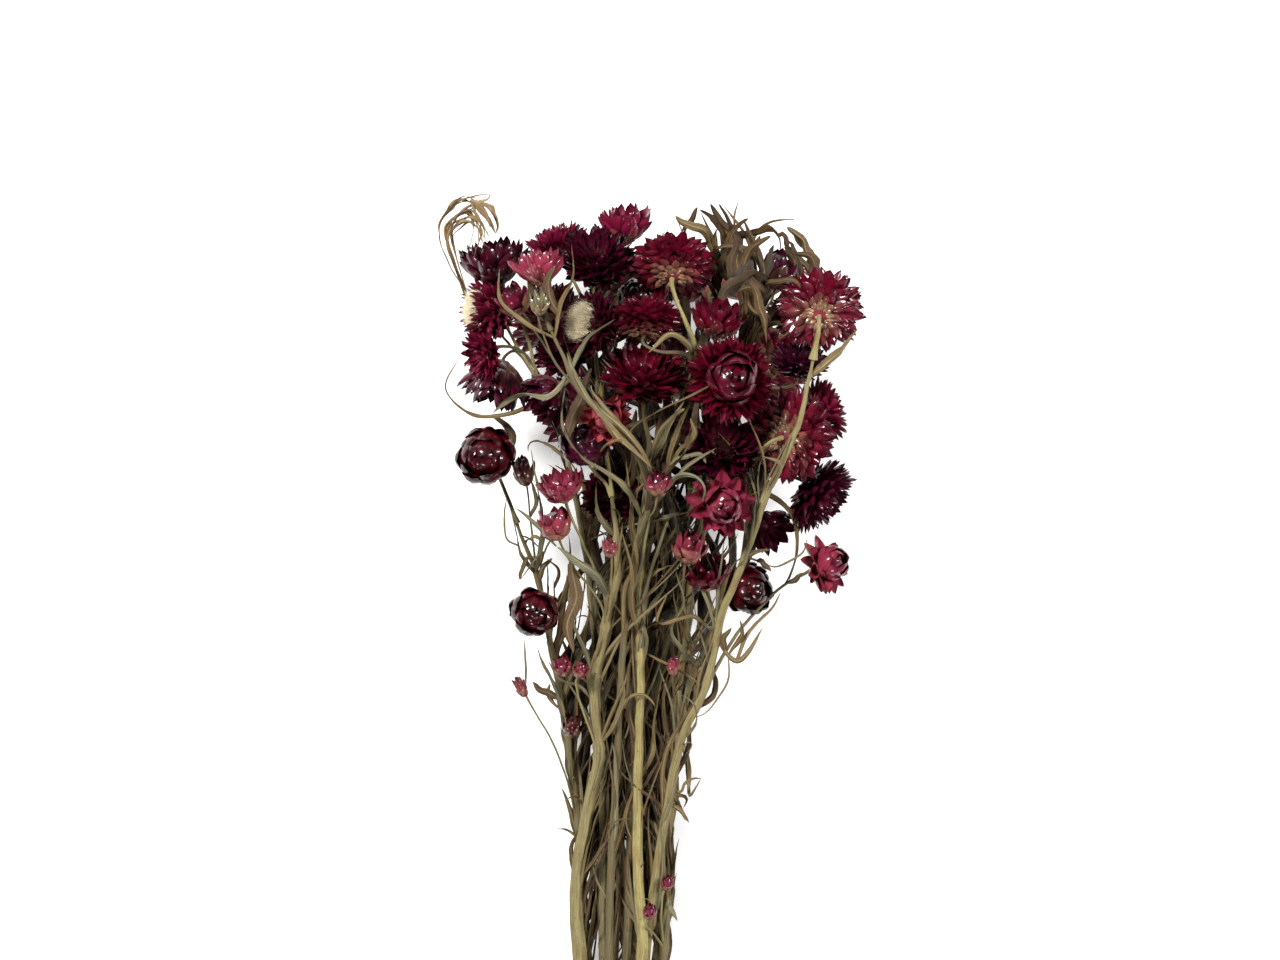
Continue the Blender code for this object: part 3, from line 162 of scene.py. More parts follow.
# Bloom: kind, place of its middle, radius, way it faces, stem, y where its stalk leaves the stem
# (None for the stem's end), colour.
BLOOMS = {
    "bloom_01": ("cup", (-74, 349, 62), 14, (-0.1, 1, 0.25), "stem_07", None, "maroon"),
    "bloom_02": ("cup", (-49, 347, 90), 13, (-0.1, 1, -0.1), "stem_05", None, "rose"),
    "bloom_03": ("bud", (-64, 331, 84), 8.5, (-0.5, 0.7, 0.4), "stem_05", 292, "magenta"),
    "bloom_05": ("open", (-80, 325, 66), 14, (-1, 0.1, 0.3), "stem_07", None, "magenta"),
    "bloom_06": ("open", (-78, 304, 74), 14.5, (-0.75, -0.35, 0.6), "stem_07", 255, "magenta"),
    "bloom_07": ("cup", (-73, 288, 56), 13, (-0.3, -1, 0.1), "stem_07", 255, "maroon"),
    "bloom_08": ("ball", (-77, 252, 76), 15.5, (-0.1, 0.05, 1), "stem_06", None, "garnet"),
    "bloom_10": ("open", (-20, 352, 76), 17.5, (0.1, 0.75, 0.65), "stem_08", None, "maroon"),
    "bloom_11": ("open", (-40, 358, 58), 14.5, (-0.4, 0.9, 0.1), "stem_08", None, "magenta"),
    "bloom_12": ("cup", (-8, 369, 60), 12, (-0.1, 1, 0.2), "stem_08", None, "rose"),
    "bloom_13": ("back", (17, 351, 74), 21.5, (0.05, 0.75, -0.66), "stem_09", None, "crimson"),
    "bloom_14": ("open", (-25, 318, 86), 17, (-0.75, 0.25, 0.6), "stem_08", 285, "maroon"),
    "bloom_15": ("ball", (-6, 332, 60), 11.5, (0.1, 0.7, 0.7), "stem_08", None, "plum"),
    "bloom_16": ("back", (9, 320, 84), 18, (0, 0.9, -0.35), "stem_09", None, "crimson"),
    "bloom_17": ("open", (1, 292, 84), 22, (0, 0.85, 0.5), "stem_02", None, "crimson"),
    "bloom_18": ("ball", (45, 290, 96), 23, (0.1, 0.1, 1), "stem_04", None, "crimson"),
    "bloom_19": ("cup", (46, 322, 78), 13.5, (0.1, 0.9, 0.35), "stem_04", 262, "crimson"),
    "bloom_20": ("back", (90, 326, 84), 21.5, (0.05, 0.45, -0.88), "stem_03", None, "crimson"),
    "bloom_21": ("bud", (69, 347, 66), 9, (0.1, 0.9, 0.4), "stem_10", None, "plum"),
    "bloom_22": ("ball", (71, 328, 52), 12, (0.2, 0.8, 0.5), "stem_10", None, "maroon"),
    "bloom_23": ("open", (80.5, 300, 66), 13.5, (0.2, 0.9, 0.4), "stem_10", 285, "plum"),
    "bloom_24": ("back", (75, 262, 72), 21, (0.45, 0.1, -0.9), "stem_11", None, "crimson"),
    "bloom_25": ("open", (94, 276, 48), 16.5, (1, 0.35, 0.0), "stem_10", 285, "magenta"),
    "bloom_26": ("open", (91, 232, 56), 15, (0.75, -0.6, 0.25), "stem_11", 205, "maroon"),
    "bloom_27": ("cup", (66, 215, 52), 10.5, (0.5, -0.6, 0.5), "stem_11", 205, "maroon"),
    "bloom_28": ("star", (94, 197, 62), 14, (0.7, 0.25, 0.65), "stem_03", 134, "rose"),
    "bloom_29": ("ball", (55, 184, 50), 14.5, (0.55, -0.1, 0.75), "stem_12", None, "garnet"),
    "bloom_30": ("cup", (35, 192, 60), 11, (-0.1, 0.8, 0.5), "stem_12", None, "crimson"),
    "bloom_31": ("star", (41, 229, 92), 16.5, (0.15, -0.1, 1), "stem_04", 190, "rose"),
    "bloom_32": ("open", (46, 254, 76), 17.5, (0.1, 0.5, 0.75), "stem_04", 230, "maroon"),
    "bloom_33": ("star", (-15, 277, 88), 14, (0.05, 0.15, 1), "stem_01", None, "rose"),
    "bloom_34": ("ball", (-27, 257, 76), 13.5, (-0.1, 0.6, 0.7), "stem_01", None, "plum"),
    "bloom_35": ("cup", (-47, 281, 78), 14, (-0.7, -0.5, 0.4), "stem_08", 230, "maroon"),
    "bloom_36": ("open", (-43, 305, 60), 15.5, (-0.5, 0.5, 0.6), "stem_08", 285, "maroon"),
    "bloom_37": ("bud", (8, 239, 92), 7.5, (0.1, 0.9, 0.45), "stem_02", 200, "magenta"),
    "bloom_38": ("cup", (-39, 240, 82), 11, (-0.3, 0.9, 0.3), "stem_01", 180, "rose"),
    "bloom_39": ("bud", (-43, 218, 76), 8, (-0.3, 0.9, 0.3), "stem_01", 155, "rose"),
    "bloom_41": ("ball", (-53, 173, 66), 13, (-0.1, -0.1, 1), "stem_06", 110, "garnet"),
    "bloom_46": ("bud", (25, 207, 78), 8, (0.2, 0.85, 0.5), "stem_12", 145, "rose"),
    "bloom_50": ("open", (-13, 233, 54), 13, (-0.1, 0.5, 0.85), "stem_09", 150, "maroon"),
    "under_01": ("open", (-47, 322, None), 15, (-0.3, 0.5, -0.8), "stem_08", None, "crimson"),
    "under_02": ("open", (-6, 338, None), 16, (-0.1, 0.6, -0.8), "stem_08", None, "maroon"),
    "under_03": ("star", (38, 343, None), 15, (0.2, 0.7, -0.7), "stem_10", None, "rose"),
    "under_04": ("open", (66, 300, None), 16, (0.5, 0.3, -0.8), "stem_10", 285, "crimson"),
    "under_05": ("ball", (17, 296, None), 15, (0.1, 0.3, -0.95), "stem_10", 230, "garnet"),
    "under_06": ("open", (-28, 274, None), 15, (-0.3, 0.2, -0.9), "stem_08", 230, "magenta"),
    "under_07": ("ball", (52, 246, None), 13, (0.5, 0.1, -0.85), "stem_11", 205, "maroon"),
}

# Bud fused to its stem: place of its middle, radius, way it faces, stem, y of its fork.
STALK_BUDS = {
    "bud_04": ((-50, 329, 104), 5.5, (0, 1, 0.1), "stem_05", 292),
    "bud_09": ((-59, 246, 62), 5.5, (-0.2, 1, 0.2), "stem_06", 190),
    "bud_40": ((-15, 207, 84), 5.0, (-0.1, 1, 0.4), "stem_01", 180),
    "bud_42": ((-39, 147, 60), 5.5, (-0.3, 0.9, 0.4), "stem_01", 105),
    "bud_52": ((-29.5, 145, 63), 4.5, (0.3, 0.9, 0.4), "stem_01", 105),
    "bud_43": ((-61, 136, 44), 4.2, (-0.5, 0.85, 0.1), "stem_06", 60),
    "bud_44": ((-34, 116, 40), 6.0, (0.1, 0.9, 0.5), "stem_06", 60),
    "bud_47": ((16.5, 147, 62), 4.0, (0, 1, 0.3), "stem_12", 110),
    "bud_48": ((5, 22, 49), 4.0, (0.2, 0.9, 0.5), "stem_12", 0),
    "bud_49": ((14, 36, 42), 3.8, (0.3, 0.9, 0.3), "stem_12", 0),
}

# Leaf, by stem: half width, twist in degrees, then its route from near the stem to its tip.
LEAVES_OF_STEM = {
    "stem_01": [
        (2.6, 40, [(-12, 180, 58), (-22, 193, 70), (-34, 201, 74), (-42, 208, 76)]),
        (1.8, 60, [(-11, 212, 62), (-20, 222, 74), (-24, 232, 80), (-22, 240, 84)]),
        (1.6, 120, [(-22, 140, 47), (-30, 160, 56), (-36, 180, 62), (-34, 196, 64)]),
        (1.5, 90, [(-21, 105, 43), (-12, 118, 52), (-8, 132, 56), (-10, 146, 60)]),
    ],
    "stem_05": [
        (2.2, 150, [(4, 220, 78), (-7, 238, 92), (-22, 247, 96), (-34, 257, 96), (-39, 271, 92),
         (-38, 285, 90)]),
        (2.2, 200, [(-35, 292, 98), (-42, 282, 102), (-56, 285, 96), (-66, 278, 88),
         (-74, 273, 84)]),
        (1.5, 90, [(-44, 314, 96), (-39, 326, 104), (-33, 342, 106), (-34, 357, 104)]),
        (1.5, 90, [(-35, 292, 98), (-30, 306, 104), (-19, 314, 106), (-12, 320, 104)]),
        (1.3, 60, [(-44, 314, 96), (-56, 318, 100), (-68, 326, 98), (-70, 346, 92)]),
        (2, 80, [(-21, 275, 96), (-12, 262, 102), (0, 254, 104), (6, 246, 104)]),
    ],
    "stem_02": [
        (2.4, 60, [(4, 245, 66), (10, 256, 82), (16, 268, 92), (23, 280, 96)]),
        (2, 120, [(3, 232, 64), (14, 244, 80), (24, 256, 88), (28, 270, 92)]),
        (1.5, 180, [(2, 224, 62), (14, 235, 84), (26, 250, 98), (38, 256, 102)]),
        (1.5, 120, [(1, 200, 58), (-4, 218, 74), (-4, 234, 84), (-7, 250, 88)]),
        (1.8, 60, [(1.5, 160, 52), (-4, 180, 66), (-4, 198, 76), (-9, 214, 76)]),
    ],
    "stem_06": [
        (1.6, 90, [(-52, 190, 48), (-49, 210, 60), (-50, 228, 68), (-53, 243, 72)]),
        (1.5, 90, [(-52, 190, 48), (-58, 200, 60), (-62, 210, 68), (-64, 224, 70)]),
        (1.6, 60, [(-52, 190, 48), (-47, 200, 62), (-55, 204, 68), (-60, 190, 70)]),
        (1.2, 60, [(-37, 110, 28), (-41, 128, 40), (-46, 142, 46), (-52, 154, 48)]),
    ],
    "stem_12": [
        (1.3, 120, [(38, 168, 52), (24, 172, 70), (10, 168, 76), (6, 176, 78), (14, 184, 80)]),
        (1.5, 120, [(28, 145, 44), (16, 164, 66), (22, 178, 74), (18, 194, 78)]),
        (1.5, 90, [(20, 110, 36), (26, 88, 42), (24, 78, 46), (31, 89, 48)]),
        (1.3, 90, [(17, 80, 32), (21, 72, 42), (25, 66, 46)]),
        (1.5, 60, [(14, 30, 28), (16, 20, 36), (19, 16, 40)]),
        (1.6, 90, [(38, 168, 52), (46, 196, 64), (58, 202, 70), (68, 196, 72)]),
    ],
    "stem_03": [
        (1.3, 90, [(62, 233, 87), (70, 246, 98), (70, 256, 102), (60, 252, 104)]),
        (2.2, 80, [(83, 292, 98), (98, 303, 92), (106, 308, 88), (108, 316, 86)]),
        (1.2, 60, [(37, 160, 63), (45, 146, 66), (56, 156, 66), (62, 166, 66)]),
    ],
    "stem_04": [
        (1.6, 60, [(27, 190, 46), (20, 208, 62), (18, 222, 72), (14, 236, 76)]),
    ],
    "stem_11": [
        (1.4, 60, [(48, 238, 52), (70, 232, 62), (76, 222, 60), (79, 200, 58), (75, 188, 56)]),
    ],
    "stem_09": [
        (1.8, 90, [(27, 300, 82), (24, 310, 96), (14, 312, 102), (4, 303, 106)]),
        (1.6, 90, [(6, 220, 56), (12, 226, 70), (17, 214, 78), (20, 224, 84)]),
    ],
    "stem_07": [
        (1.3, 90, [(-50, 285, 60), (-64, 274, 66), (-80, 272, 70), (-95, 279, 74), (-97, 292, 76),
         (-90, 302, 82)]),
        (1.2, 60, [(-22, 150, 34), (-34, 158, 32), (-42, 172, 28), (-44, 190, 30)]),
    ],
    "stem_08": [
        (2, 90, [(-14, 230, 40), (-24, 240, 34), (-36, 238, 30), (-44, 248, 28)]),
        (1.8, 60, [(-11, 160, 26), (-16, 180, 20), (-24, 196, 16), (-26, 212, 16)]),
        (1.6, 120, [(-11, 120, 20), (-4, 140, 14), (2, 158, 10), (2, 176, 9)]),
    ],
    "stem_10": [
        (2, 60, [(11, 160, 24), (16, 180, 16), (14, 198, 12), (18, 214, 12)]),
        (1.8, 90, [(26, 230, 38), (28, 244, 28), (38, 254, 22), (40, 268, 18)]),
        (2.6, 60, [(50, 303, 53), (52, 334, 60), (40, 348, 70), (36, 364, 76), (30, 375, 78)]),
        (2.4, 60, [(55, 315, 56), (54, 340, 66), (49, 354, 76), (44, 366, 80), (37, 377, 82)]),
        (2.2, 90, [(53, 310, 54), (58, 340, 58), (57, 356, 66), (49, 369, 70), (41, 379, 70)]),
        (2.2, 90, [(51.5, 306, 54), (61, 334, 76), (61, 350, 86), (53, 362, 84)]),
        (2.2, 90, [(48, 297, 52), (66, 336, 50), (72, 352, 52), (70, 366, 56)]),
        (2.4, 60, [(49, 300, 53), (74, 334, 70), (86, 346, 62), (84, 359, 58), (74, 367, 56)]),
        (3, 60, [(46, 291, 51), (58, 330, 80), (48, 336, 92), (40, 330, 96)]),
        (2.2, 60, [(43, 282, 50), (63, 326, 84), (60, 318, 92), (63, 308, 96)]),
        (1.8, 60, [(47, 294, 51), (40, 330, 58), (26, 356, 56), (18, 373, 56)]),
    ],
}
# All leaves in one row each after their stem. A leaf's number here names it, as in leaf_07.
LEAVES = [(stem, *row) for stem, rows in LEAVES_OF_STEM.items() for row in rows]

# Straw-coloured tuft of curled old leaves: one stalk, then strands that start on it.
TUFT_STALK = [(-50, 285, 60), (-58, 300, 44), (-76, 318, 42), (-88, 334, 50), (-96, 356, 58)]
TUFT_STRANDS = [
    [(-88, 334, 50), (-97, 350, 56), (-101, 366, 62), (-96, 377, 62), (-86, 378, 60),
     (-74, 380, 58)],
    [(-88, 334, 50), (-94, 352, 52), (-98, 370, 54), (-90, 376, 50), (-80, 372, 48),
     (-75, 362, 48)],
    [(-88, 334, 50), (-92, 354, 60), (-93, 369, 66), (-84, 374, 70), (-75, 368, 72),
     (-72, 360, 70)],
    [(-88, 334, 50), (-96, 352, 62), (-97, 366, 70), (-88, 381, 74), (-78, 383, 76)],
]
TUFT_STALK_RADIUS = 0.9
TUFT_STRAND_HALF_WIDTH = 1.0

# Rings of a bloom's solid from its base to its middle, as parts of its radius. Two neighbouring
# columns of the solid take turns: (radius 1, radius 2, height 1, height 2). Where the two differ
# the ring is a star of bract points, and the ring after it is the root of the next layer.
RINGS = {
    "open": [(0.12, 0.12, -0.5, -0.5), (0.42, 0.36, -0.4, -0.4), (1, 0.78, -0.02, -0.12),
             (0.63, 0.61, 0.02, 0.02), (0.68, 0.88, 0.14, 0.24), (0.47, 0.47, 0.16, 0.16),
             (0.68, 0.52, 0.38, 0.31), (0.36, 0.36, 0.24, 0.24)],
    "ball": [(0.12, 0.12, -0.48, -0.48), (0.45, 0.42, -0.36, -0.36), (1, 0.8, -0.06, -0.15),
             (0.66, 0.64, 0, 0), (0.68, 0.86, 0.12, 0.2), (0.5, 0.5, 0.14, 0.14),
             (0.58, 0.52, 0.36, 0.3), (0.3, 0.38, 0.58, 0.52)],
    "star": [(0.14, 0.14, -0.5, -0.5), (0.4, 0.32, -0.34, -0.4), (1, 0.6, 0.06, -0.12),
             (0.5, 0.46, 0.02, 0.02), (0.46, 0.84, 0.1, 0.3), (0.38, 0.4, 0.18, 0.2),
             (0.46, 0.42, 0.4, 0.36), (0.24, 0.3, 0.6, 0.54)],
    "cup": [(0.16, 0.16, -0.75, -0.75), (0.52, 0.46, -0.58, -0.58), (0.9, 0.72, -0.1, -0.32),
            (0.66, 0.66, -0.24, -0.22), (0.78, 1, 0.28, 0.42), (0.6, 0.62, 0.2, 0.24),
            (0.66, 0.44, 0.62, 0.34), (0.34, 0.34, 0.26, 0.26)],
    "back": [(0.13, 0.13, -0.44, -0.44), (0.42, 0.27, -0.32, -0.38), (0.29, 0.31, -0.28, -0.28),
             (0.5, 0.66, -0.22, -0.2), (0.47, 0.47, -0.17, -0.17), (1, 0.8, 0, -0.06),
             (0.62, 0.6, 0.06, 0.06), (0.52, 0.82, 0.12, 0.24), (0.36, 0.36, 0.16, 0.16)],
    "bud": [(0.22, 0.22, -0.95, -0.95), (0.7, 0.64, -0.66, -0.66), (0.98, 0.8, -0.08, -0.4),
            (0.82, 0.82, -0.16, -0.12), (0.66, 0.84, 0.24, 0.52), (0.52, 0.54, 0.4, 0.42),
            (0.4, 0.26, 0.86, 0.66)],
}
MIDDLE_HEIGHT = {"open": 0.32, "ball": 0.64, "star": 0.66, "cup": 0.22, "back": 0.20, "bud": 0.70}

# Balls that stand for a bloom while the bunch settles: (ring radius, height, ball radius, count).
BALLS = {
    "open": [(0.66, 0.04, 0.35, 12), (0, 0.1, 0.42, 1), (0, -0.28, 0.26, 1)],
    "ball": [(0.66, 0.02, 0.35, 12), (0, 0.24, 0.46, 1), (0, -0.28, 0.26, 1)],
    "star": [(0.66, 0.08, 0.34, 12), (0, 0.26, 0.44, 1), (0, -0.28, 0.26, 1)],
    "cup": [(0.58, 0.14, 0.45, 12), (0.4, -0.26, 0.4, 6), (0, -0.5, 0.3, 1)],
    "back": [(0.66, 0.04, 0.35, 12), (0, -0.1, 0.42, 1), (0, 0.05, 0.42, 1)],
    "bud": [(0, -0.45, 0.72, 1), (0, 0, 0.95, 1), (0, 0.45, 0.62, 1)],
    "tiny": [(0, -0.45, 0.72, 1), (0, 0, 0.95, 1), (0, 0.45, 0.62, 1)],
}

# How the pieces are drawn, in millimetres
BRACT_THICKNESS = 0.26      # drawn twice the real one so that its rim shows
BRACT_STEPS = 30            # a bract's middle line is worked out in so many steps
BRACT_ROWS = [0, 5, 12, 19, 26, 30]     # the steps that its mesh keeps
BRACT_COLUMNS = 5
FULL_RADIUS = 16            # of the head for which the counts of bracts and hairs are given
CORE_SIDES = 20             # corners round the core of a head
BUD_CORE_SIDES = 14
BUD_BRACTS = 18
LEAF_SHEET = 0.30           # thickness of a dried leaf
LEAF_COLUMNS = 7
LEAF_CREASE = 80.0          # degrees: sharper edges of leaves stay sharp
EDGE_RIPPLE = 0.13          # height of the waves of a leaf's edge, as part of its half width
DRAWN_TAPER = 0.5           # of the leaves of DRAWN_LEAVES
STEM_RING_STEP = 2.6        # distance between the rings of a stem as drawn
STALK_RING_STEP = 2.0
LEAF_ROW_STEP = 1.7
STRAND_ROW_STEP = 1.1
STEM_RIBS = (8, 0.055)      # ribs round a stem and their height, as part of its radius
STALK_RIBS = (5, 0.05)
TUFT_RIBS = (5, 0.06)
KNOT_RISE = 0.32            # a stem swells by this part of its radius where a branch leaves it
KNOT_REACH = 2.0            # and this far to each side of it
LEAF_GROWTH = 1.15          # leaves are drawn this much wider than their solids
HAIR_RADIUS = 0.075         # hairs of the cream pappus, drawn thicker so that they show
SPARE_FROM, SPARE_TO = 20.0, 290.0      # thin leaves leave the stems between these heights
SPARE_LEAVES = 8            # short curled leaves on a stem
CLASPING_LEAVES = 7         # long leaves that wind about a stem
CROSSING_LEAVES = 30        # strips that run up through the bunch from one stem towards another
# Painted shade: broad, dark brown to nearly black leaves laid low behind the stems darken the gaps
# between them
SHADE_LEAVES = 20            # broad brown leaves that lie low, behind the stems
# Withered leaves beside a modelled one
SISTERS = {39: 1, 40: 1, 41: 1, 42: 1, 43: 2, 45: 2, 46: 2, 47: 1, 37: 1, 38: 1, 12: 2,
           13: 1, 10: 1, 11: 1, 3: 1}
# Heights along the bunch, and a stem's radius there against its solid's
STEM_THINNING = ((-60, 20, 200, 280), (0.97, 0.84, 0.74, 0.60))
STEM_END_THINNING = 0.5     # a stem narrows to this at its upper end
STEM_END = 28               # over this length
STALK_THINNING = 0.72
LOOSE_FROM, LOOSE_OVER = 30, 260        # a stem strays more and more from here above the tie
FLOOR_PRESS = 1.2           # what lies lower than this is pressed flat towards the table
STEM_TONES = {"stem_01": 0.50, "stem_02": 0.78, "stem_03": 0.55, "stem_09": 0.20, "stem_05": 0.10}
TUFT_WISPS = 5
CROOKED_TUFT = 0.9          # millimetres that the tuft's stalk strays
STRAND_RADIUS = 1.62        # the tie's twine
KNOT_STRAND_RADIUS = 0.92 * STRAND_RADIUS
KNOT_HEIGHT = 2.6           # middle of the knot above the coil
COIL_RADIUS = 15.6
PLY_TURN = 8.5
PLY_CORNERS = 7
COIL_RINGS, KNOT_RINGS, TAIL_RINGS = 520, 60, 26
HEAD_SEED, BUD_SEED, STEM_SEED, TUFT_SEED = 40, 400, 900, 77    # of the random draws

# Cream hairs: reach and height of their disc, its rise in the middle, how many in a head of
# 16 mm radius, and their length, in parts of the radius
HAIRS = {"disc": (0.46, 0.00, 0.06, 2200, 0.42)}

# Bud: finish and least dryness
BUD_FINISHES = {
    "bud_04": ("green", 0.0), "bud_09": ("garnet", 0.0), "bud_40": ("rose", 0.15),
    "bud_42": ("magenta", 0.0), "bud_52": ("magenta", 0.0), "bud_43": ("magenta", 0.25),
    "bud_44": ("garnet", 0.0), "bud_47": ("rose", 0.0), "bud_48": ("magenta", 0.0),
    "bud_49": ("magenta", 0.0),
}
BUD_STRETCH = 1.25          # a bud is drawn this much longer than its solid
# Buds of another size and stretch
SLIM_BUDS = {"bud_09": (1.15, 1.5), "bud_43": (0.80, 2.0), "bud_47": (0.9, 1.6),
             "bud_04": (0.95, 1.5)}
# How brown a leaf is, by its number
LEAF_AGES = {0: 0.10, 1: 0.25, 2: 0.15, 3: 0.35, 4: 0.25, 5: 0.15, 9: 0.45, 10: 0.30, 11: 0.40,
             13: 0.55, 18: 0.10, 26: 0.45, 29: 0.70, 39: 0.95, 40: 0.85, 41: 0.90, 42: 0.70,
             43: 0.95, 44: 0.85, 45: 1.00, 46: 0.95, 47: 0.75}
CROOKED_STEM = 0.7          # millimetres that a stem strays from its smooth route
CROOKED_STALK = 0.6 * CROOKED_STEM

